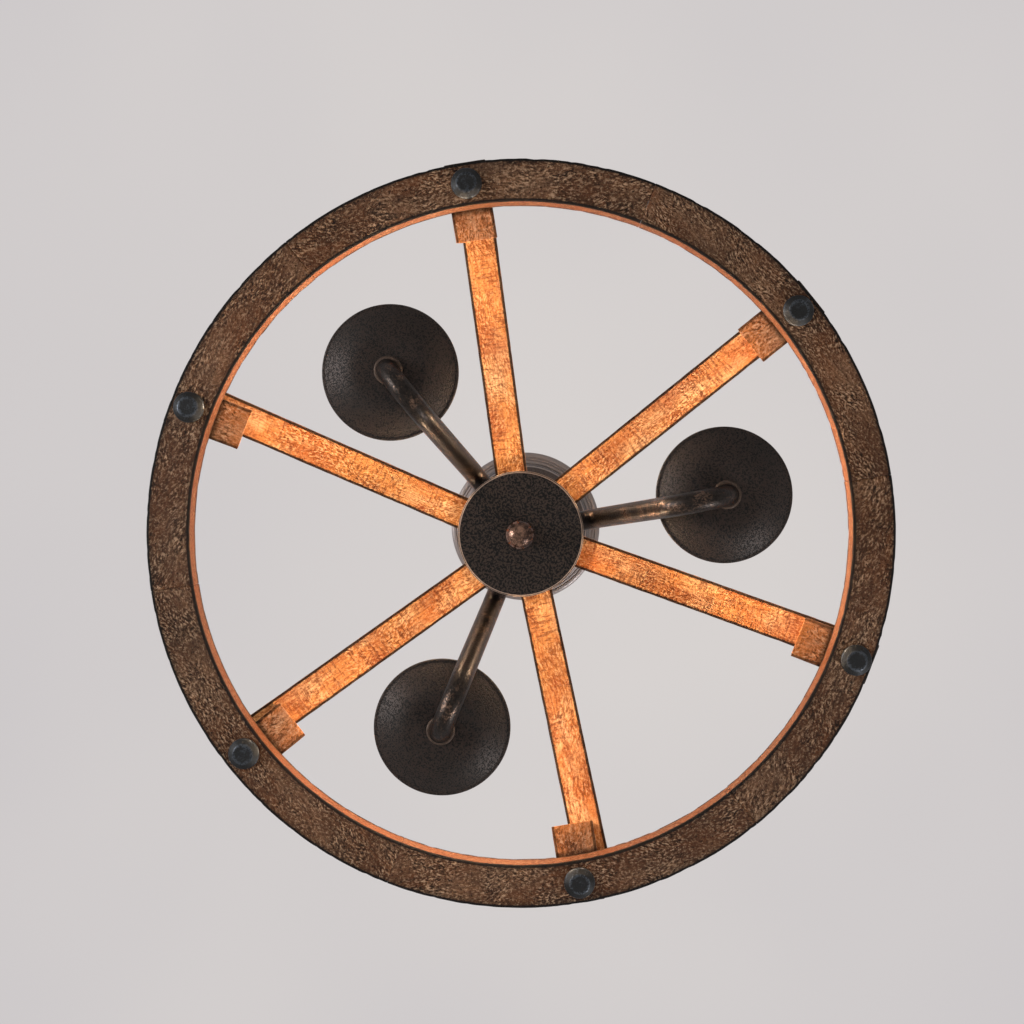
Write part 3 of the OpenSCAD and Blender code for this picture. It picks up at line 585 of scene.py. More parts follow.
# On the blocks the painted light tone is painted light, lighter and more orange towards the hub,
# with fewer marks
blockLook = {
    **spokeLook,
    "base": rgb(174, 115, 74), "warm": rgb(184, 114, 64), "pale": rgb(194, 156, 126),
    "deep": rgb(92, 52, 32), "fleck": rgb(222, 190, 160), "gouge": rgb(44, 22, 14),
    "paintedLightTone": rgb(196, 122, 68), "lineShare": 0.2, "fleckShare": 0.6, "gougeShare": 0.85,
    "markAlong": 300.0, "markAcross": 640.0, "ringShare": 0.0, "chatterShare": 0.0,
    "calm": 0.4, "grit": 700.0, "edgeShare": 0.7,
}
darkLook = {
    "base": rgb(42, 33, 29), "warm": rgb(49, 37, 32), "speck": rgb(2, 1, 1),
    "edge": rgb(120, 98, 84), "speckShare": 0.9, "edgeShare": 0.3, "speckScale": 950.0,
    "speckCover": 0.5, "rough": 0.45, "metal": 0.2, "shine": 0.25, "bump": 0.0001, "dust": 0.4,
}
# The hub cover's light edge colour is a painted highlight along its rim
coverLook = {
    **darkLook,
    "base": rgb(55, 44, 38), "warm": rgb(60, 47, 40), "edge": rgb(206, 176, 156),
    "edgeShare": 0.55, "speckShare": 1.0, "speck": rgb(3, 2, 2), "speckScale": 720.0,
    "speckCover": 0.62,
}
# The canopy's light edge colour is a painted reflection on its rims and grooves
canopyLook = {
    **darkLook,
    "base": rgb(52, 50, 53), "warm": rgb(72, 66, 66), "edge": rgb(146, 138, 138),
    "speckShare": 0.25, "metal": 0.5, "rough": 0.3, "edgeShare": 0.6, "bump": 0.00004,
}
armLook = {
    "patina": rgb(40, 34, 31), "bare": rgb(118, 94, 80), "speck": rgb(12, 9, 8),
    "speckShare": 0.6, "share": 0.12, "rough": 0.24, "metalLow": 0.8, "metalHigh": 0.95,
    "bump": 0.00006, "dust": 0.3,
}
finialLook = {
    **armLook,
    "patina": rgb(56, 42, 37), "bare": rgb(140, 108, 92), "share": 0.5, "rough": 0.16,
    "speckShare": 0.4, "metalLow": 0.9, "bump": 0.00002,
}
boltLook = {
    **armLook,
    "patina": rgb(17, 19, 22), "bare": rgb(70, 74, 80), "share": 0.1, "rough": 0.4,
    "metalLow": 0.5,
}
zincLook = {
    "base": rgb(178, 178, 172), "tarnish": rgb(132, 130, 122), "rough": 0.32,
    "metal": 1.0, "bump": 0.00002,
}

rimWood = woodMaterial("rimWood", rimLook)
spokeWood = woodMaterial("spokeWood", spokeLook)
blockWood = woodMaterial("blockWood", blockLook)
darkBronze = coatMaterial("darkBronze", darkLook)
coverBronze = coatMaterial("coverBronze", coverLook)
canopyBronze = coatMaterial("canopyBronze", canopyLook)
armBronze = bronzeMaterial("armBronze", armLook)
finialBronze = bronzeMaterial("finialBronze", finialLook)
boltSteel = bronzeMaterial("boltSteel", boltLook)
zinc = platedMaterial("zinc", zincLook)
capBrass = platedMaterial("capBrass", {**zincLook, "base": rgb(206, 172, 104),
                                       "tarnish": rgb(150, 116, 66)})
greenSteel = platedMaterial("greenSteel", {**zincLook, "base": rgb(34, 116, 58),
                                           "tarnish": rgb(24, 84, 44)})
holderPlastic = coatMaterial("holderPlastic", {**darkLook, "base": rgb(30, 27, 26),
                                               "warm": rgb(38, 34, 32), "metal": 0.0,
                                               "speckShare": 0.2, "rough": 0.35})
leadSheath = coatMaterial("leadSheath", {**darkLook, "base": rgb(196, 190, 178),
                                         "warm": rgb(186, 178, 162), "metal": 0.0,
                                         "speckShare": 0.05, "speck": rgb(120, 112, 100)})
wireSheath = coatMaterial("wireSheath", {**darkLook, "base": rgb(40, 40, 42),
                                         "warm": rgb(52, 50, 50), "metal": 0.0})


glassLook = {
    "base": (1.0, 0.98, 0.95, 1.0),
    "rough": 0.02,
    "bend": 1.45,
    "seedScale": 260.0,
    "bump": 0.00002,
    "bumpStrength": 0.3,
}
glowLook = {
    "base": rgb(250, 214, 120),
    "dim": rgb(255, 196, 110),
    "bright": rgb(255, 226, 160),
    "beadScale": (300.0, 300.0, 1400.0),
    "beadCut": (0.4, 0.6),
    "strength": 6.0,
}


# Light passes straight through the glass, so that a bulb casts no shadow of its own
def glassMaterial():
    material, tree, shader, place, edge = newMaterial("clearGlass")
    seeds = noiseAt(tree, place, glassLook["seedScale"], 1.0, 0.5)
    shader.inputs["Base Color"].default_value = glassLook["base"]
    shader.inputs["Roughness"].default_value = glassLook["rough"]
    shader.inputs["IOR"].default_value = glassLook["bend"]
    shader.inputs["Transmission Weight"].default_value = 1.0
    addBump(tree, shader, seeds, glassLook["bump"], glassLook["bumpStrength"])
    clear = addNode(tree, "BsdfTransparent")
    shadow = addNode(tree, "LightPath").outputs["Is Shadow Ray"]
    showShader(tree, mixShaders(tree, shadow, shader, clear))
    return material


def glowMaterial():
    material, tree, shader, place, edge = newMaterial("glowingFilament")
    beads = noiseAt(tree, stretched(tree, place, *glowLook["beadScale"]), 1.0, 1.0)
    beads = remap(tree, beads, *glowLook["beadCut"])
    shader.inputs["Base Color"].default_value = glowLook["base"]
    connect(tree, blend(tree, beads, glowLook["dim"], glowLook["bright"]),
            shader.inputs["Emission Color"])
    shader.inputs["Emission Strength"].default_value = glowLook["strength"]
    return material


bulbGlass = glassMaterial()
glow = glowMaterial()
print("materials made")

# Mesh helpers


softening = {
    "leastTurn": math.radians(14),  # a smaller turn stays as it is
    "sideShare": 0.4,  # of a side that a corner may use
    "steps": 3,
    "fade": 1.4,  # mm from a corner to where its mask ends
}


# Rounds an outline's corners; gives (x, y, mask) with the mask 1 on a corner
def softCorners(outline, radius, closed=True, fade=softening["fade"]):
    made = []
    count = len(outline)
    steps = softening["steps"]
    for index, point in enumerate(outline):
        here = Vector(point)
        if not closed and index in (0, count - 1):
            made.append((here.x, here.y, 0.0))
            continue
        back = Vector(outline[index - 1]) - here
        ahead = Vector(outline[(index + 1) % count]) - here
        turn = math.pi - back.angle(ahead)
        if turn < softening["leastTurn"]:
            made.append((here.x, here.y, 0.0))
            continue
        most = softening["sideShare"]
        cut = min(radius, most * back.length, most * ahead.length)
        first = here + back.normalized() * cut
        last = here + ahead.normalized() * cut
        if back.length > 3 * (cut + fade):
            far = here + back.normalized() * (cut + fade)
            made.append((far.x, far.y, 0.0))
        for step in range(steps + 1):
            share = step / steps
            curve = first.lerp(here, share).lerp(here.lerp(last, share), share)
            made.append((curve.x, curve.y, 1.0))
        if ahead.length > 3 * (cut + fade):
            far = here + ahead.normalized() * (cut + fade)
            made.append((far.x, far.y, 0.0))
    return made


# Adds points where a section's sides are longer than the step
def filled(section, step):
    made = []
    for index, point in enumerate(section):
        after = section[(index + 1) % len(section)]
        made.append(point)
        length = math.hypot(after[0] - point[0], after[1] - point[1])
        for extra in range(1, int(length // step) + 1):
            share = extra / (length // step + 1)
            made.append(tuple(point[i] + (after[i] - point[i]) * share for i in range(3)))
    return made


def putAttribute(mesh, name, kind, values):
    made = mesh.attributes.new(name, kind, "POINT")
    field = "vector" if kind == "FLOAT_VECTOR" else "value"
    flat = [part for value in values for part in value] if field == "vector" else values
    made.data.foreach_set(field, flat)


def makePiece(name, points, faces, grain, edge, finish, body, replaced, sharp=38,
              extra=None):
    mesh = bpy.data.meshes.new(name)
    mesh.from_pydata([tuple(point) for point in points], [], faces)
    putAttribute(mesh, "grain", "FLOAT_VECTOR", grain)
    putAttribute(mesh, "edge", "FLOAT", edge)
    for label, values in (extra or {}).items():
        putAttribute(mesh, label, "FLOAT", values)
    work = bmesh.new()
    work.from_mesh(mesh)
    bmesh.ops.recalc_face_normals(work, faces=work.faces)
    work.to_mesh(mesh)
    work.free()
    mesh.shade_smooth()
    mesh.set_sharp_from_angle(angle=math.radians(sharp))
    mesh.materials.append(finish)
    piece = addObject(name, mesh)
    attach(piece, body)
    for node in replaced:
        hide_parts(node)
    return piece


# Joins rings of equal length into a skin, with the first and last ring capped
def skin(rings, capped=True):
    size = len(rings[0])
    faces = []
    for ring in range(len(rings) - 1):
        for index in range(size):
            after = (index + 1) % size
            low = ring * size
            faces.append((low + index, low + after, low + size + after, low + size + index))
    if capped:
        faces.append(tuple(range(size)))
        faces.append(tuple((len(rings) - 1) * size + index for index in range(size)))
    return faces


def randomShift(reach=1.0):
    return Vector((random.random() * reach, random.random() * reach, random.random() * reach))


# Turns an outline of (radius, height, mask), in millimetres, round the z axis
def latheMesh(outline, segments, closed):
    points, edge, rows = [], [], []
    for radius, height, mask in outline:
        if radius < 1e-4:
            rows.append([len(points)] * segments)
            points.append(Vector((0, 0, height * mm)))
            edge.append(mask)
            continue
        row = []
        for step in range(segments):
            angle = 2 * math.pi * step / segments
            row.append(len(points))
            points.append(Vector((radius * math.cos(angle), radius * math.sin(angle), height)) * mm)
            edge.append(mask)
        rows.append(row)
    faces = []
    pairs = list(zip(rows, rows[1:]))
    if closed:
        pairs.append((rows[-1], rows[0]))
    for low, high in pairs:
        for step in range(segments):
            after = (step + 1) % segments
            corners = [low[step], low[after], high[after], high[step]]
            face = [c for i, c in enumerate(corners) if c != corners[i - 1]]
            if len(set(face)) > 2:
                faces.append(tuple(face))
    return points, faces, edge


def turned(name, outline, place, finish, replaced, body="fixture", radius=0.5,
           closed=False, segments=96, soft=True, fade=softening["fade"]):
    if soft:
        section = softCorners(outline, radius, closed, fade=fade)
    else:
        section = [(*point, 0.0) for point in outline]
    points, faces, edge = latheMesh(section, segments, closed)
    shift = randomShift()
    grain = [point + shift for point in points]
    world = [place @ point for point in points]
    return makePiece(name, world, faces, grain, edge, finish, body, replaced)


# As turned, for a mesh made in the piece's own frame
def placed(name, mesh, place, finish, body, node):
    points, faces, edge = mesh
    world = [place @ point for point in points]
    makePiece(name, world, faces, points, edge, finish, body, [node])


def at(x, y, z):
    return Matrix.Translation((x, y, z))


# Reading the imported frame


def vertices(node):
    return [vertex.co for vertex in cadNodes[node].data.vertices]


def lowHigh(node):
    low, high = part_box(node)
    return low.z / mm, high.z / mm


def widest(node):
    low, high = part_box(node)
    return max(high.x - low.x, high.y - low.y) / 2 / mm


def rimRadii():
    reach = [math.hypot(point.x, point.y) for point in vertices("felloe_1")]
    return min(reach), max(reach)


# The eight corners of a bar that lies roughly along a direction in plan
def barCorners(node, angle):
    along = Vector((math.cos(angle), math.sin(angle), 0))
    across = Vector((-math.sin(angle), math.cos(angle), 0))
    points = vertices(node)
    corners = {}
    for end in (0, 1):
        for side in (0, 1):
            for level in (0, 1):
                way = along * (2 * end - 1) + across * (2 * side - 1)
                way.z = 0.5 * (2 * level - 1)
                corners[end, side, level] = max(points, key=way.dot).copy()
    return corners


def insideCorners(corners, t, u, v):
    def along(side, level):
        return corners[0, side, level].lerp(corners[1, side, level], t)
    low = along(0, 0).lerp(along(1, 0), u)
    high = along(0, 1).lerp(along(1, 1), u)
    return low.lerp(high, v)


# Wooden pieces

carving = {
    "step": 2.4,  # spacing of the mesh's rings, mm
    "corner": 1.0,  # radius of the long edges, mm
    "cornerFade": 1.6,
    "endCorner": 0.35,
    "sharp": 50,  # degrees from which an edge is drawn as a sharp one
    "dent": 0.22,  # depth of the shallow hollows on the faces, mm
    "dentSize": 9.0,
    "dentShare": 0.2,
    "chip": 0.75,  # depth of the chips along the edges, mm
    "chipSize": 7.0,
    "chipShare": -0.05,
    "fineSize": 2.5,
    "fine": 0.35,
}


# place(t, u, v) maps the unit box to the piece; length, width and height are in mm.
# The mask functions give, from (t, x, point), the painted light tone and the shade for the material
def woodPiece(name, place, length, width, height, finish, replaced,
              grainPlace=None, paintedLightAt=None, shadeAt=None):
    outline = [(0, 0), (width, 0), (width, height), (0, height)]
    corners = softCorners(outline, carving["corner"], fade=carving["cornerFade"])
    section = filled(corners, carving["step"])
    rows = [0.0, carving["endCorner"] / length]
    count = int(length / carving["step"])
    rows += [step / count for step in range(1, count)]
    rows += [1 - carving["endCorner"] / length, 1.0]
    shift = randomShift(9)
    rings, grain, edge, tone, shade = [], [], [], [], []
    for row, t in enumerate(rows):
        inset = carving["endCorner"] if row in (0, len(rows) - 1) else 0.0
        ring = []
        for x, y, mask in section:
            u = (width / 2 + (x - width / 2) * (1 - 2 * inset / width)) / width
            v = (height / 2 + (y - height / 2) * (1 - 2 * inset / height)) / height
            point = place(t, u, v)
            board = grainPlace(point) if grainPlace else Vector((t * length, x, y)) * mm
            ring.append(point)
            grain.append(board + shift)
            edge.append(mask)
            tone.append(paintedLightAt(t, x, point) if paintedLightAt else 0.0)
            shade.append(shadeAt(t, x, point) if shadeAt else 0.0)
        rings.append(ring)
    points = [point for ring in rings for point in ring]
    piece = makePiece(name, points, skin(rings), grain, edge, finish, "fixture",
                      replaced, carving["sharp"], {"tone": tone, "shade": shade})
    carve(piece, grain, edge)


# Sinks shallow hollows and edge chips into a piece; nothing moves outwards
def carve(piece, grain, edge):
    mesh = piece.data
    normals = [vertex.normal.copy() for vertex in mesh.vertices]
    for vertex, normal, board, mask in zip(mesh.vertices, normals, grain, edge):
        hollow = noise.noise(board / (carving["dentSize"] * mm))
        chip = noise.noise(board / (carving["chipSize"] * mm) + Vector((7, 3, 5)))
        fine = noise.noise(board / (carving["fineSize"] * mm) + Vector((1, 8, 2)))
        depth = carving["dent"] * max(0.0, hollow + carving["dentShare"])
        chipped = chip + carving["chipShare"] + carving["fine"] * fine
        depth += mask * carving["chip"] * max(0.0, chipped)
        vertex.co -= normal * depth * mm
    mesh.update()


woodMasks = {
    "wallShade": 0.7,  # the dark line where a felloe's wall meets its top
    "wallLine": (0.0042, 0.0015),  # metres below the top
    "faceShade": 0.45,
    "faceFade": 5.0,  # mm from a felloe's edges
    "spokePaintedShade": (0.12, 0.22),  # metres from the axis; painted shade, darker towards the rim
    "blockPaintedLight": (0.005, 0.02),  # metres in from the rim; painted light, lighter towards the hub
    "blockShade": (0.003, 0.0005),
    "wallBelow": 0.01,  # mm across the section
}


def ramp(value, low, high):
    return max(0.0, min(1.0, (value - low) / (high - low)))


def makeFelloes():
    inner, outer = rimRadii()
    low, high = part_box("felloe_1")
    width = (outer - inner) / mm
    height = (high.z - low.z) / mm
    span = 2 * math.pi / stations
    for index in range(stations):
        middle = span * index

        def place(t, u, v):
            angle = middle + (t - 0.5) * span
            radius = inner + u * (outer - inner)
            z = low.z + v * (high.z - low.z)
            return Vector((radius * math.cos(angle), radius * math.sin(angle), z))

        def board(point):
            way = Vector((-math.sin(middle), math.cos(middle), 0))
            out = Vector((math.cos(middle), math.sin(middle), 0))
            return Vector((point.dot(way), point.dot(out), point.z))

        # Painted light: the rim's inner wall, which faces the bulbs, takes the lighter tone
        def wallPaintedLight(t, x, point):
            return 1.0 if x < woodMasks["wallBelow"] else 0.0

        def nearEdge(t, x, point):
            if x < woodMasks["wallBelow"]:
                start, full = woodMasks["wallLine"]
                return woodMasks["wallShade"] * ramp(point.z, high.z - start, high.z - full)
            away = min(x, width - x) / woodMasks["faceFade"]
            return woodMasks["faceShade"] * max(0.0, 1.0 - away)

        length = span * (inner + outer) / 2 / mm
        number = index + 1
        woodPiece(f"felloe-{number}", place, length, width, height, rimWood,
                  [f"felloe_{number}"], board, wallPaintedLight, nearEdge)


def makeSpokesAndBlocks():
    spokes = []
    rimInner = rimRadii()[0]

    def spokePaintedShade(t, x, point):
        return ramp(point.xy.length, *woodMasks["spokePaintedShade"])

    def blockPaintedLight(t, x, point):
        return ramp(rimInner - point.xy.length, *woodMasks["blockPaintedLight"])

    def blockShade(t, x, point):
        start, full = woodMasks["blockShade"]
        return ramp(point.xy.length, rimInner - start, rimInner - full)

    kinds = {"spoke": (spokeWood, "spoke_wood", spokePaintedShade, None),
             "block": (blockWood, "rim_wood", blockPaintedLight, blockShade)}
    for index in range(stations):
        number = index + 1
        angle = 2 * math.pi * index / stations
        for kind, (finish, slotName, tone, shade) in kinds.items():
            corners = barCorners(f"{kind}_{number}", angle)
            length = (corners[1, 0, 0] - corners[0, 0, 0]).length / mm
            width = (corners[0, 1, 0] - corners[0, 0, 0]).length / mm
            deep = (corners[0, 0, 1] - corners[0, 0, 0]).length / mm
            if kind == "spoke":
                spokes.append(corners)

            def place(t, u, v):
                return insideCorners(corners, t, u, v)

            woodPiece(f"{kind}-{number}", place, length, width, deep, finish,
                      [f"{kind}_{number}"], None, tone, shade)
    return spokes


makeFelloes()
spokeCorners = makeSpokesAndBlocks()
print("wheel made")

# Rim bolts and screws

rimBolt = {
    "flatShare": 0.62,  # of the head's radius
    "crown": 0.2,
    "side": 1.5,
    "soft": 0.8,
    "foot": 0.3,
    "shankRadius": 3.0,
    "apart": 0.2,  # metres from the axis, less than a bolt's own place
}


def makeBolts():
    points = vertices("rim_bolts")
    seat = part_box("felloe_1")[0].z / mm
    low, high = lowHigh("rim_bolts")
    head = seat - low
    top = high - seat
    for index in range(stations):
        way = 2 * math.pi * index / stations
        near = [point for point in points
                if Vector((math.cos(way), math.sin(way), 0)).dot(point) > rimBolt["apart"]]
        x = (min(point.x for point in near) + max(point.x for point in near)) / 2
        y = (min(point.y for point in near) + max(point.y for point in near)) / 2
        radius = (max(point.x for point in near) - x) / mm
        flat = radius * rimBolt["flatShare"]
        side, soft, foot = rimBolt["side"], rimBolt["soft"], rimBolt["foot"]
        shank = rimBolt["shankRadius"]
        outline = [(0, -head + rimBolt["crown"]), (flat * 0.7, -head), (flat, -head),
                   (radius - soft, -side - soft), (radius, -side), (radius, -foot),
                   (radius - foot, 0), (shank, 0), (shank, top), (0, top)]
        turned(f"rimBolt-{index + 1}", outline, at(x, y, seat * mm), boltSteel,
               ["rim_bolts"], radius=0.5, segments=64, fade=0.6)


screwLook = {
    "headRadius": 3.75,
    "headHeight": 2.2,
    "dome": ((0, 1), (0.3, 0.97), (0.7, 0.75), (1, 0.25)),  # shares of radius and height
    "shankRadius": 1.75,
    "point": 3,
    "depth": 22,  # of a block screw
    "slotWidth": 0.9,
    "slotDepth": 0.9,
    "slotLength": 4.4,
    "offsets": (7.0, 22.0),  # from the plane of the block's inner end
}


# A screw with a domed head, into which a cross recess is sunk
def screwMesh(shank):
    head = screwLook["headRadius"]
    height = screwLook["headHeight"]
    thin = screwLook["shankRadius"]
    outline = [(head * share, height * rise) for share, rise in screwLook["dome"]]
    outline += [(head, 0), (thin, 0), (thin, -shank + screwLook["point"]),
                (thin * 0.5, -shank), (0, -shank)]
    section = softCorners(outline, 0.3, False, fade=0.5)
    points, faces, edge = latheMesh(section, 32, False)
    half = screwLook["slotWidth"] / 2 * mm
    reach = screwLook["slotLength"] / 2 * mm
    for index, point in enumerate(points):
        inCross = (abs(point.x) < half or abs(point.y) < half) and point.xy.length < reach
        if inCross and point.z > 0:
            points[index] = Vector((point.x, point.y, point.z - screwLook["slotDepth"] * mm))
    return points, faces, edge


def makeScrews(name, places, shank, node):
    points, faces, grain, edge = [], [], [], []
    for place in places:
        body, sides, masks = screwMesh(shank)
        shift = randomShift()
        first = len(points)
        points += [place @ point for point in body]
        grain += [point + shift for point in body]
        edge += masks
        faces += [tuple(first + corner for corner in side) for side in sides]
    makePiece(name, points, faces, grain, edge, boltSteel, "fixture", [node])


def screwPlaces():
    blockPlaces, clampPlaces = [], []
    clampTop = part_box("clamp_upper")[1].z
    clampRadius = max(point.xy.length for point in vertices("clamp_upper"))
    for index, corners in enumerate(spokeCorners):
        inner = (corners[0, 0, 1] + corners[0, 1, 1]) / 2
        outer = (corners[1, 0, 1] + corners[1, 1, 1]) / 2
        along = (outer - inner).normalized()
        across = (corners[0, 1, 1] - corners[0, 0, 1]).normalized()
        up = along.cross(across)
        if up.z < 0:
            up = -up
        turn = Matrix((across.cross(up), across, up)).transposed().to_4x4()
        blockTop = barCorners(f"block_{index + 1}", 2 * math.pi * index / stations)[0, 0, 1]
        endStation = (blockTop - inner).dot(along)
        for offset in screwLook["offsets"]:
            spot = inner + along * (endStation + offset * mm / along.xy.length)
            blockPlaces.append(Matrix.Translation(spot) @ turn)
        spokeIn = inner.xy.length
        plan = Vector((outer.x - inner.x, outer.y - inner.y)).length
        share = ((spokeIn + clampRadius) / 2 - spokeIn) / plan
        spot = inner.lerp(outer, share)
        clampPlaces.append(Matrix.Translation((spot.x, spot.y, clampTop)))
    return blockPlaces, clampPlaces


makeBolts()
blockPlaces, clampPlaces = screwPlaces()
makeScrews("spokeScrews", blockPlaces, screwLook["depth"], "spoke_screws")
clampDepth = (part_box("clamp_screws")[1].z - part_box("clamp_screws")[0].z) / mm
makeScrews("clampScrews", clampPlaces, clampDepth - screwLook["headHeight"], "clamp_screws")
print("bolts and screws made")

# Hub

hub = {
    "drumWall": 1.5,
    "drumShoulder": 2.0,
    "coverThick": 1.2,
    "coverBevel": 1.0,
    "pipeHole": 5.15,
    "ballRadius": 9.8,
    "ballStep": 6,  # degrees
    "neckRadius": 3.5,
    "neckCove": 0.6,
    "footRadius": 7.5,
    "footHeight": 9.0,
    "footRise": ((2, 1.5), (0.4, 2.6), (0, 4)),  # in from the radius, up from the neck
    "footRim": 1.0,
    "footSoft": 0.4,
    "seatGap": 0.02,
    "spacerWaist": 1.2,
    "spacerBand": 2.0,
    "spacerTaper": 3.4,
}


def makeHub():
    axis = Matrix.Identity(4)
    low, high = lowHigh("hub_drum")
    radius = widest("hub_drum")
    wall = hub["drumWall"]
    hole = hub["pipeHole"]
    bend = hub["drumShoulder"]
    outline = [(radius, low), (radius, high - bend), (radius - bend, high), (hole, high),
               (hole, high - wall), (radius - 2 * wall, high - wall),
               (radius - wall, high - 2 * bend), (radius - wall, low)]
    turned("hubDrum", outline, axis, darkBronze, ["hub_drum"], closed=True)
    low, high = lowHigh("hub_cover")
    radius = widest("hub_cover")
    thick = hub["coverThick"]
    bevel = hub["coverBevel"]
    outline = [(hole, low), (radius - bevel, low), (radius, low + bevel), (radius, high),
               (radius - thick, high), (radius - thick, low + thick + bevel),
               (radius - thick - bevel, low + thick), (hole, low + thick)]
    turned("hubCover", outline, axis, coverBronze, ["hub_cover"], closed=True,
           radius=0.2, segments=128, fade=0.25)
    base = low
    ball = hub["ballRadius"]
    neck = hub["neckRadius"]
    foot = hub["footRadius"]
    footLow = base - hub["footHeight"]
    centre = lowHigh("finial")[0] + ball
    meet = math.degrees(math.asin(neck / ball))
    sphere = [(ball * math.sin(math.radians(angle)), centre - ball * math.cos(math.radians(angle)))
              for angle in range(0, int(180 - meet), hub["ballStep"])]
    cove = hub["neckCove"]
    seat = base - hub["seatGap"]
    outline = [*sphere, (neck, centre + ball * math.cos(math.radians(meet))),
               (neck, footLow - cove), (neck + cove, footLow),
               *[(foot - inset, footLow + rise) for inset, rise in hub["footRise"]],
               (foot, base - hub["footRim"]), (foot - hub["footSoft"], seat), (0, seat)]
    turned("finial", outline, axis, finialBronze, ["finial"], radius=0.3)
    low, high = lowHigh("stem_tube")
    radius = widest("stem_tube")
    outline = [(hole, low), (radius, low), (radius, high), (hole, high)]
    turned("stemTube", outline, axis, armBronze, ["stem_tube"], closed=True)
    low, high = lowHigh("spacer_tube")
    radius = widest("spacer_tube")
    waist = radius - hub["spacerWaist"]
    band, taper = hub["spacerBand"], hub["spacerTaper"]
    outline = [(hole, low), (radius, low), (radius, low + band), (waist, low + taper),
               (waist, high - taper), (radius, high - band), (radius, high), (hole, high)]
    turned("spacerTube", outline, axis, armBronze, ["spacer_tube"], closed=True)


makeHub()
print("hub made")

# Arms

arm = {
    "shoulderRadius": 16.0,
    "hookRadius": 22.0,
    "tip": 6.0,
    "root": 6.0,
    "inDrum": 7,
    "tubeRadius": 6.8,
    "bendSteps": 12,
    "hookSteps": 28,
    "sides": 40,
    "collarWide": 11.5,
    "collarNarrow": 8.3,
    "collarSoft": 0.8,
    "collarFlange": 1.8,
    "collarEnd": 0.6,
    "collarSink": 0.4,
}


# Stations (x, z, slope) of an arm's middle line, in millimetres
def armLine(start, reach, armHeight, lampHeight):
    drum = widest("hub_drum")
    bend = arm["shoulderRadius"]
    hookBend = arm["hookRadius"]
    shoulder = Vector((drum + arm["root"], armHeight - bend))
    hook = Vector((reach - hookBend, lampHeight - arm["tip"]))
    span = hook - shoulder
    straight = math.sqrt(span.length_squared - (bend + hookBend) ** 2)
    dip = math.pi / 2 - math.atan2(straight, bend + hookBend) - math.atan2(span.y, span.x)
    steps, hookSteps = arm["bendSteps"], arm["hookSteps"]
    line = [(start, armHeight, 0.0)]

    def onHook(angle):
        return (hook.x + hookBend * math.sin(angle), hook.y - hookBend * math.cos(angle), angle)

    for step in range(steps + 1):
        angle = dip * step / steps
        line.append((shoulder.x + bend * math.sin(angle), shoulder.y + bend * math.cos(angle),
                     -angle))
    first = line[-1]
    last = onHook(-dip)
    for step in range(1, steps):
        share = step / steps
        line.append(tuple(first[i] + (last[i] - first[i]) * share for i in range(3)))
    for step in range(hookSteps + 1):
        line.append(onHook(-dip + (math.pi / 2 + dip) * step / hookSteps))
    line.append((reach, lampHeight, math.pi / 2))
    return line


def lampPlace(number):
    low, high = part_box(f"dish_{number}")
    middle = (low + high) / 2
    return Vector((middle.x, middle.y, low.z))


def makeArms():
    collarLow, collarHigh = lowHigh("arm_collars")
    armHeight = (collarLow + collarHigh) / 2
    drum = widest("hub_drum")
    radius = arm["tubeRadius"]
    sides = arm["sides"]
    for index in range(lamps):
        number = index + 1
        lamp = lampPlace(number)
        heading = math.atan2(lamp.y, lamp.x)
        out = Vector((math.cos(heading), math.sin(heading), 0))
        side = Vector((-math.sin(heading), math.cos(heading), 0))
        rise = Vector((0, 0, 1))
        reach = math.hypot(lamp.x, lamp.y) / mm
        line = armLine(drum - arm["inDrum"], reach, armHeight, lamp.z / mm)
        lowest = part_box(f"arm_{number}")[0].z
        rings, grain, edge = [], [], []
        shift = randomShift()
        travelled = 0.0
        for row, (x, z, slope) in enumerate(line):
            if row:
                travelled += math.hypot(x - line[row - 1][0], z - line[row - 1][1])
            ring = []
            for step in range(sides):
                angle = 2 * math.pi * step / sides
                lift = radius * math.cos(angle)
                away = radius * math.sin(angle)
                spot = out * (x - lift * math.sin(slope)) + rise * (z + lift * math.cos(slope))
                point = (spot + side * away) * mm
                point.z = max(point.z, lowest)
                ring.append(point)
                grain.append(Vector((travelled, away, lift)) * mm + shift)
                edge.append(0.0)
            rings.append(ring)
        points = [point for ring in rings for point in ring]
        makePiece(f"arm-{number}", points, skin(rings), grain, edge, armBronze, "fixture",
                  [f"arm_{number}"])
        sideways = Matrix.Rotation(heading, 4, "Z") @ Matrix.Rotation(math.pi / 2, 4, "Y")
        place = at(0, 0, armHeight * mm) @ sideways
        wide = arm["collarWide"]
        narrow = arm["collarNarrow"]
        soft = arm["collarSoft"]
        seat = math.sqrt(drum ** 2 - wide ** 2) - arm["collarSink"]
        tip = drum + arm["root"]
        outline = [(radius, seat), (wide, seat), (wide, drum + soft),
                   (wide - soft, drum + arm["collarFlange"]), (narrow + soft, tip - 2 * soft),
                   (narrow, tip - soft), (narrow - arm["collarEnd"], tip), (radius, tip)]
        turned(f"armCollar-{number}", outline, place, armBronze,
               ["arm_collars"], closed=True, radius=0.4, segments=56, fade=0.8)


makeArms()
print("arms made")

# Lamps

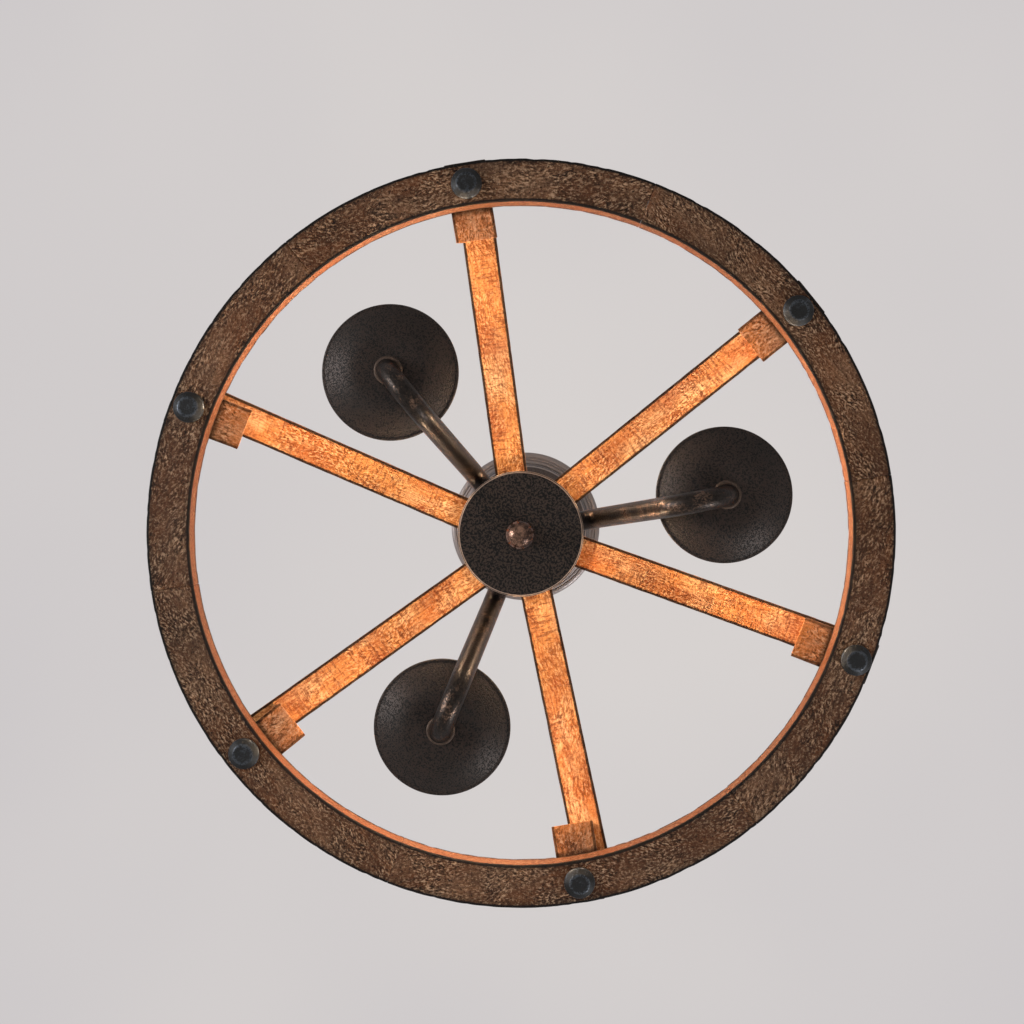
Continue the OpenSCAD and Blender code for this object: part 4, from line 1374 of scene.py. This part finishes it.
lampLook = {
    "dishFloor": 20.0,
    "dishThick": 1.2,
    "dishLip": 1.3,
    "dishSteps": 16,
    "floorFlat": 0.6,
    "coveBend": 1.7,
    "lipTurn": range(-110, 161, 30),  # degrees
    "ringHeight": 3.0,
    "ringGap": 0.05,
    "ringSoft": 0.8,
    "ringReach": 0.02,  # metres from the lamp's axis, so that only its own ring is measured
    "cupRadius": 17.0,
    "cupHeight": 28.0,
    "cupWall": 1.0,
    "cupCove": ((2.5, 0), (0.6, 1), (0, 3)),  # in from the radius, up from the dish
    "cupInside": (3.6, 4),
    "cupBrim": (1.4, 0.5),  # below the cup's top
    "nippleHole": 5.15,
    "socketRadius": 10.0,
    "socketHeight": 31.0,
    "socketSoft": 0.8,
    "socketBore": 6.15,
    "socketDepth": 17.5,
    "socketFoot": 9,
    "ribs": 6,
    "ribStart": 6,
    "ribPitch": 2.2,
    "ribShape": ((0, 0), (0.5, 0.5), (0.5, 1.1), (0, 1.6)),
    "wireHole": 2.2,
}


def makeDish(number, place):
    radius = widest(f"dish_{number}")
    low, high = lowHigh(f"dish_{number}")
    lip = lampLook["dishLip"]
    thick = lampLook["dishThick"]
    floor = lampLook["dishFloor"]
    side = radius - lip - floor
    depth = high - low - lip - thick / 2
    steps = lampLook["dishSteps"]
    cove = []
    for step in range(steps):
        share = step / steps
        cove.append((floor + side * share, depth * share ** lampLook["coveBend"]))
    lipHeight = depth + thick / 2
    roll = []
    for angle in lampLook["lipTurn"]:
        turn = math.radians(angle)
        roll.append((radius - lip + lip * math.cos(turn), lipHeight + lip * math.sin(turn)))
    hole = lampLook["nippleHole"]
    flat = floor * lampLook["floorFlat"]
    over = [(x, z + thick) for x, z in reversed(cove)]
    outline = [(hole, 0), (flat, 0), *cove, *roll, *over, (flat, thick), (hole, thick)]
    turned(f"dish-{number}", outline, place, darkBronze, [f"dish_{number}"],
           closed=True, segments=128, soft=False)


def makeRing(number, place):
    middle = lampPlace(number)
    reach = [math.hypot(point.x - middle.x, point.y - middle.y)
             for point in vertices("dish_rings")]
    wide = max(away for away in reach if away < lampLook["ringReach"]) / mm
    hole = arm["tubeRadius"] + lampLook["ringGap"]
    height = lampLook["ringHeight"]
    soft = lampLook["ringSoft"]
    outline = [(hole, -height), (wide - soft, -height), (wide, -height + soft), (wide, 0),
               (hole, 0)]
    turned(f"dishRing-{number}", outline, place, darkBronze, ["dish_rings"],
           closed=True, radius=0.4, segments=64, fade=0.6)


def makeCup(number, place):
    thick = lampLook["dishThick"]
    wall = lampLook["cupWall"]
    cup = lampLook["cupRadius"]
    hole = lampLook["nippleHole"]
    top = thick + lampLook["cupHeight"]
    brim, edge = lampLook["cupBrim"]
    inset, rise = lampLook["cupInside"]
    outline = [(hole, thick), *[(cup - x, thick + z) for x, z in lampLook["cupCove"]],
               (cup, top - brim), (cup, top - edge), (cup - wall, top - edge),
               (cup - wall, thick + rise), (cup - inset, thick + wall), (hole, thick + wall)]
    turned(f"lampCup-{number}", outline, place, darkBronze, ["lamp_cups"],
           closed=True, radius=0.4)


def makeSocket(number, place):
    hole, wire = lampLook["nippleHole"], lampLook["wireHole"]
    low = lampLook["dishThick"] + lampLook["cupWall"]
    high = low + lampLook["socketHeight"]
    outer, bore = lampLook["socketRadius"], lampLook["socketBore"]
    floor, foot = high - lampLook["socketDepth"], low + lampLook["socketFoot"]
    soft = lampLook["socketSoft"]
    ribs = []
    for rib in range(lampLook["ribs"]):
        z = low + lampLook["ribStart"] + rib * lampLook["ribPitch"]
        ribs += [(outer - inset, z + rise) for inset, rise in lampLook["ribShape"]]
    outline = [(hole, low), (outer - soft, low), (outer, low + soft), *ribs,
               (outer, high - soft), (outer - soft, high), (bore, high), (bore, floor),
               (wire, floor), (wire, foot), (hole, foot)]
    turned(f"socket-{number}", outline, place, holderPlastic,
           [f"socket_{number}"], closed=True, radius=0.25, segments=64, fade=0.6)


def makeLamp(number):
    place = at(*lampPlace(number))
    makeDish(number, place)
    makeRing(number, place)
    makeCup(number, place)
    makeSocket(number, place)


for number in range(1, lamps + 1):
    makeLamp(number)
print("lamps made")

# Bulbs

bulb = {
    "capRadius": 5.85,
    "capFoot": ((0, 0), (2.4, 0), (3, 1.2)),  # radius, up from the foot
    "capShoulder": ((1.2, 2.4), (0.15, 3.4)),  # in from the radius, up from the foot
    "capLip": (0.3, 0.4),
    "capWall": 0.8,
    "capInside": 5,
    "capSegments": 72,
    "threadSteps": 44,
    "threadDepth": 0.45,
    "threadPitch": 2.1,
    "threadStart": 4.6,
    "threadEnd": 14.5,
    "threadFade": 1.5,
    "glassThick": 0.7,
    "glassSteps": 48,
    "neckGap": 0.15,
    "neckStraight": 3.5,
    "bellyAt": 0.42,
    "tipBend": 0.8,
    "tipThin": 6,
    "stemFoot": ((0, 0.1), (1.5, 0.1), (1.5, 3), (1, 8)),  # radius, up from the stem's foot
    "stemTop": ((0.7, 34), (1.1, 31.5), (0.6, 30.5), (0.35, 28), (0.35, 1.2), (0, 1)),
    "rods": 4,
    "rodEnds": (30.6, 0.6),  # down from the stem's top
    "rodTaper": 0.8,
    "rodRadius": 0.75,
    "cageRadius": 2.6,
}


# A node's lowest and highest point, up from its dish
def aboveDish(node, number):
    low, high = lowHigh(f"{node}_{number}")
    base = lowHigh(f"dish_{number}")[0]
    return low - base, high - base


def makeCap(number, place, body):
    low, high = aboveDish("bulb_cap", number)
    radius = bulb["capRadius"]
    steps = bulb["threadSteps"]
    threadLow = low + bulb["threadStart"]
    threadHigh = low + bulb["threadEnd"]
    inset, drop = bulb["capLip"]
    inner, floor = radius - bulb["capWall"], low + bulb["capInside"]
    rows = [(x, low + z) for x, z in bulb["capFoot"]]
    rows += [(radius - x, low + z) for x, z in bulb["capShoulder"]]
    rows += [(radius, threadLow + (threadHigh - threadLow) * step / steps)
             for step in range(steps + 1)]
    rows += [(radius, high - drop), (radius - inset, high), (inner, high), (inner, floor),
             (0, floor)]
    points, faces, edge = latheMesh([(x, z, 0.0) for x, z in rows], bulb["capSegments"], False)
    for point in points:
        z = point.z / mm
        if threadLow <= z <= threadHigh and point.xy.length > (radius - 0.2) * mm:
            angle = math.atan2(point.y, point.x)
            wave = math.cos(2 * math.pi * z / bulb["threadPitch"] - angle)
            ends = min(1.0, (z - threadLow) / bulb["threadFade"],
                       (threadHigh - z) / bulb["threadFade"])
            sunk = bulb["threadDepth"] * (0.5 - 0.5 * wave) * max(0.0, ends)
            point.xy = point.xy * (1 - sunk / radius)
    placed(f"bulbCap-{number}", (points, faces, edge), place, capBrass, body,
           f"bulb_cap_{number}")


def glassRadius(u, neck, belly):
    if u < bulb["bellyAt"]:
        return neck + (belly - neck) * (1 - math.cos(math.pi * u / bulb["bellyAt"])) / 2
    share = (u - bulb["bellyAt"]) / (1 - bulb["bellyAt"])
    return belly * max(math.cos(math.pi / 2 * share), 0.0) ** bulb["tipBend"]


def makeGlass(number, place, body):
    low, high = aboveDish("bulb_glass", number)
    neck = bulb["capRadius"] - bulb["capWall"] - bulb["neckGap"]
    belly = widest(f"bulb_glass_{number}")
    start = low + bulb["neckStraight"]
    steps = bulb["glassSteps"]

    def wall(shrink):
        side = [(neck - shrink, low)]
        tall = high - start - shrink
        for step in range(steps + 1):
            u = step / steps
            inset = shrink * (1 - u ** bulb["tipThin"])
            side.append((max(glassRadius(u, neck, belly) - inset, 0.0), start + tall * u))
        side[-1] = (0.0, side[-1][1])
        return side

    outline = wall(0.0) + list(reversed(wall(bulb["glassThick"])))
    mesh = latheMesh([(x, z, 0.0) for x, z in outline], bulb["capSegments"], True)
    placed(f"bulbGlass-{number}", mesh, place, bulbGlass, body,
           f"bulb_glass_{number}")


# A glass stem with a cage of glowing rods round it
def makeFilament(number, place, body):
    low, high = aboveDish("filament", number)
    stem = [(x, low + z) for x, z in bulb["stemFoot"]]
    stem += [(x, high - z) for x, z in bulb["stemTop"]]
    turned(f"bulbStem-{number}", stem, place, bulbGlass, [f"filament_{number}"],
           body, radius=0.2, segments=24, fade=0.4)
    points, faces, edge = [], [], []
    rodLow, rodHigh = [high - end for end in bulb["rodEnds"]]
    thin, taper = bulb["rodRadius"], bulb["rodTaper"]
    rod = [(0, rodLow), (thin * 0.5, rodLow), (thin, rodLow + taper), (thin, rodHigh - taper),
           (thin * 0.5, rodHigh), (0, rodHigh)]
    for index in range(bulb["rods"]):
        angle = 2 * math.pi / bulb["rods"] * index
        shape, sides, masks = latheMesh(softCorners(rod, 0.2, False, fade=0.4), 14, False)
        shift = Vector((math.cos(angle), math.sin(angle), 0)) * bulb["cageRadius"] * mm
        first = len(points)
        points += [point + shift for point in shape]
        edge += masks
        faces += [tuple(first + corner for corner in side) for side in sides]
    placed(f"filament-{number}", (points, faces, edge), place, glow, body,
           f"filament_{number}")


for number in range(1, lamps + 1):
    place = at(*lampPlace(number))
    makeCap(number, place, f"bulb_{number}")
    makeGlass(number, place, f"bulb_{number}")
    makeFilament(number, place, f"bulb_{number}")
print("bulbs made")

# Canopy

canopySizes = {
    "band": 9.5,
    "bandHeight": 7.0,
    "bandEdge": ((0, 2.2), (0.4, 1), (2, 0)),  # in from the radius, up from the band
    "bandSlope": 1.5,
    "grooveSpan": (2, 2.5),  # mm of the band without grooves: outside, and in all
    "grooves": (0.35, 0.65),
    "grooveShape": ((0.45, 0), (0.15, 0.55), (-0.15, 0.55), (-0.45, 0)),
    "panShape": ((1, 6), (2.6, 3.2), (6, 1.5), (12, 0)),  # in from the pan's radius, and up
    "panInside": ((12, 0), (6.5, 1.5), (2, 5.5)),
    "flange": 3.5,
    "thick": 1.0,
    "stemHole": 8.5,
    "collarBore": 8.1,
    "collarFoot": 3,
    "collarWaist": 1.5,
    "collarRise": 2,
    "collarRim": (4, 2.5),  # from the collar's top down to its waist and to its rim
}


def makeCanopy():
    axis = Matrix.Identity(4)
    low, high = lowHigh("canopy")
    radius = widest("canopy")
    pan = radius - canopySizes["band"]
    band = -canopySizes["bandHeight"]
    t = canopySizes["thick"]
    hole = canopySizes["stemHole"]
    flange = canopySizes["flange"]
    slope = canopySizes["bandSlope"]
    outside, without = canopySizes["grooveSpan"]
    outer = [(radius - flange, 0), (radius, 0)]
    outer += [(radius - inset, band + rise) for inset, rise in canopySizes["bandEdge"]]
    for groove in canopySizes["grooves"]:
        x = radius - outside - (canopySizes["band"] - without) * groove
        z = band - slope * groove
        outer += [(x + away, z + deep) for away, deep in canopySizes["grooveShape"]]
    outer += [(pan + 0.5, band - slope), (pan, band - slope - 1)]
    outer += [(pan - inset, low + rise) for inset, rise in canopySizes["panShape"]]
    inner = [(hole, low), (hole, low + t)]
    inner += [(pan - inset, low + rise + t) for inset, rise in canopySizes["panInside"]]
    inner += [(pan - t, band - 2), (pan - 0.5, band - 0.4), (radius - 2.4, band + t + 0.4),
              (radius - t, band + 2.6), (radius - t, -t), (radius - flange, -t)]
    turned("canopy", outer + inner, axis, canopyBronze, ["canopy"],
           "canopy_body", closed=True, radius=0.35, segments=160, fade=0.7)
    low, high = lowHigh("canopy_collar")
    wide = widest("canopy_collar")
    bore = canopySizes["collarBore"]
    waist = wide - canopySizes["collarWaist"]
    toWaist, toRim = canopySizes["collarRim"]
    outline = [(bore, low), (wide - canopySizes["collarFoot"], low),
               (waist, low + canopySizes["collarRise"]), (waist, high - toWaist),
               (wide, high - toRim), (wide, high), (bore, high)]
    turned("canopyCollar", outline, axis, armBronze, ["canopy_collar"],
           "canopy_body", closed=True, radius=0.5, segments=80, fade=0.8)


makeCanopy()
print("canopy made")

# CAD nodes that are carried over

carried = {
    "felloe_dowels": spokeWood,
    "clamp_lower": darkBronze,
    "clamp_upper": darkBronze,
    "lamp_pipe": zinc,
    "lock_nuts": zinc,
    "supply_lead": leadSheath,
    "arm_wires": wireSheath,
    "splice_sleeves": zinc,
    "dish_nipples": zinc,
    "crossbar": zinc,
    "ground_screw": greenSteel,
}


def finishCarried():
    for node, finish in carried.items():
        mesh = cadNodes[node].data
        points = [vertex.co.copy() for vertex in mesh.vertices]
        putAttribute(mesh, "grain", "FLOAT_VECTOR", points)
        mesh.materials.clear()
        mesh.materials.append(finish)


finishCarried()
print("carried nodes finished")

# Stage and light

stageLook = {
    "ceiling": rgb(215, 210, 208),
    "ceilingFalloffAndCloudTone": rgb(202, 198, 200),
    "ceilingLit": (0.75, 0.75, 0.75, 1.0),
    "cloudScale": 2.2,
    "cloudShare": (0.35, 0.65, -0.1, 0.35),
    "edgeShare": (0.1, 0.75, 0.0, 0.7),  # by the distance from the canopy, in metres: a painted falloff of light, lighter near the canopy
    "ceilingGap": 0.001,
    "ceilingSize": 12.0,
    "floor": rgb(222, 219, 215),
    "floorRough": 0.9,
    "floorBelow": 2.3,
    "floorSize": 16.0,
    "floorPlain": 0.85,  # share of the backdrop's tone in what the floor shows
    "world": 0.3,
}


def stagePlane(name, size, z, material):
    half = size / 2
    mesh = bpy.data.meshes.new(name)
    corners = [(-half, -half, z), (half, -half, z), (half, half, z), (-half, half, z)]
    mesh.from_pydata(corners, [], [(0, 1, 2, 3)])
    mesh.materials.append(material)
    plane = addObject(name, mesh)
    return plane


def seenRays(tree):
    path = addNode(tree, "LightPath").outputs
    straight = sums(tree, "MAXIMUM", path["Is Camera Ray"], path["Is Transmission Ray"])
    return sums(tree, "MAXIMUM", straight, path["Is Glossy Ray"])


# The ceiling shows a soft tone, lighter near the canopy as a painted falloff of light and with
# faint cloudy patches, and can be seen through from above
def ceilingMaterial():
    material = bpy.data.materials.new("ceilingPaint")
    material.use_nodes = True
    tree = material.node_tree
    tree.nodes.remove(tree.nodes["Principled BSDF"])
    place = addNode(tree, "NewGeometry").outputs["Position"]
    cloud = noiseAt(tree, place, stageLook["cloudScale"], 2.0, 0.5, 3.0)
    away = addNode(tree, "VectorMath", {0: place}, operation="LENGTH").outputs["Value"]
    share = sums(tree, "ADD", remap(tree, away, *stageLook["edgeShare"]),
                 remap(tree, cloud, *stageLook["cloudShare"]), clamp=True)
    colour = blend(tree, share, stageLook["ceiling"], stageLook["ceilingFalloffAndCloudTone"])
    shown = addNode(tree, "Emission", {"Color": colour, "Strength": 1.0})
    lit = addNode(tree, "BsdfDiffuse", {"Color": stageLook["ceilingLit"]})
    clear = addNode(tree, "BsdfTransparent")
    below = mixShaders(tree, seenRays(tree), lit, shown)
    fromAbove = addNode(tree, "NewGeometry").outputs["Backfacing"]
    showShader(tree, mixShaders(tree, fromAbove, below, clear))
    return material


# The floor shows partly as the backdrop's plain tone, and keeps the shadows that fall on it
def floorMaterial():
    material = bpy.data.materials.new("floorPaint")
    material.use_nodes = True
    tree = material.node_tree
    shader = tree.nodes["Principled BSDF"]
    shader.inputs["Base Color"].default_value = stageLook["floor"]
    shader.inputs["Roughness"].default_value = stageLook["floorRough"]
    shown = addNode(tree, "Emission", {"Color": stageLook["floor"], "Strength": 1.0})
    share = sums(tree, "MULTIPLY", seenRays(tree), stageLook["floorPlain"])
    showShader(tree, mixShaders(tree, share, shader, shown))
    return material


def makeStage():
    ceiling = stagePlane("ceiling", stageLook["ceilingSize"], stageLook["ceilingGap"],
                         ceilingMaterial())
    ceiling.data.flip_normals()
    stagePlane("floor", stageLook["floorSize"], -stageLook["floorBelow"], floorMaterial())
    world = bpy.data.worlds.new("studio")
    world.use_nodes = True
    bpy.context.scene.world = world
    tree = world.node_tree
    level = stageLook["world"]
    colour = blend(tree, seenRays(tree), (level, level, level, 1.0), stageLook["floor"])
    connect(tree, colour, tree.nodes["Background"].inputs["Color"])


studioLights = {
    "left": {"right": -1.7, "up": 0.3, "z": -0.95, "size": 0.9, "power": 27.0},
    "lowerRight": {"right": 1.2, "up": -1.4, "z": -0.95, "size": 0.7, "power": 19.0},
}
bulbLight = {
    "aboveDish": 0.040,
    "softRadius": 0.008,
    "colour": (1.0, 0.72, 0.46),
    "power": 1.35,
    "evenAt": 0.1,  # at this distance the slower falloff equals the plain one
}


def makeStudioLights():
    right, up = pictureDirections()
    middle = Vector((0, 0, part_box("felloe_1")[0].z))
    for name, look in studioLights.items():
        data = bpy.data.lights.new(name, "AREA")
        data.shape = "DISK"
        data.size = look["size"]
        data.energy = look["power"]
        light = addObject(name, data)
        light.location = right * look["right"] + up * look["up"] + Vector((0, 0, look["z"]))
        aim = middle - light.location
        light.rotation_mode = "QUATERNION"
        light.rotation_quaternion = aim.to_track_quat("-Z", "Y")


# An upright filament shines sideways more than it does up and down
def makeBulbLight(number):
    data = bpy.data.lights.new(f"bulbLight-{number}", "POINT")
    data.energy = bulbLight["power"]
    data.color = bulbLight["colour"]
    data.shadow_soft_size = bulbLight["softRadius"]
    data.use_nodes = True
    tree = data.node_tree
    way = addNode(tree, "TexCoord").outputs["Normal"]
    rise = addNode(tree, "SeparateXYZ", {"Vector": way}).outputs["Z"]
    sideways = sums(tree, "SUBTRACT", 1.0, sums(tree, "MULTIPLY", rise, rise))
    ways = {"Strength": 1.0 / bulbLight["evenAt"]}
    slower = addNode(tree, "LightFalloff", ways).outputs["Linear"]
    strength = sums(tree, "MULTIPLY", slower, sideways)
    connect(tree, strength, tree.nodes["Emission"].inputs["Strength"])
    light = addObject(f"bulbLight-{number}", data)
    light.location = lampPlace(number) + Vector((0, 0, bulbLight["aboveDish"]))
    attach(light, f"bulb_{number}")


makeStage()
makeStudioLights()
for number in range(1, lamps + 1):
    makeBulbLight(number)
bpy.context.scene.view_settings.view_transform = "Standard"
print("stage and lights made")
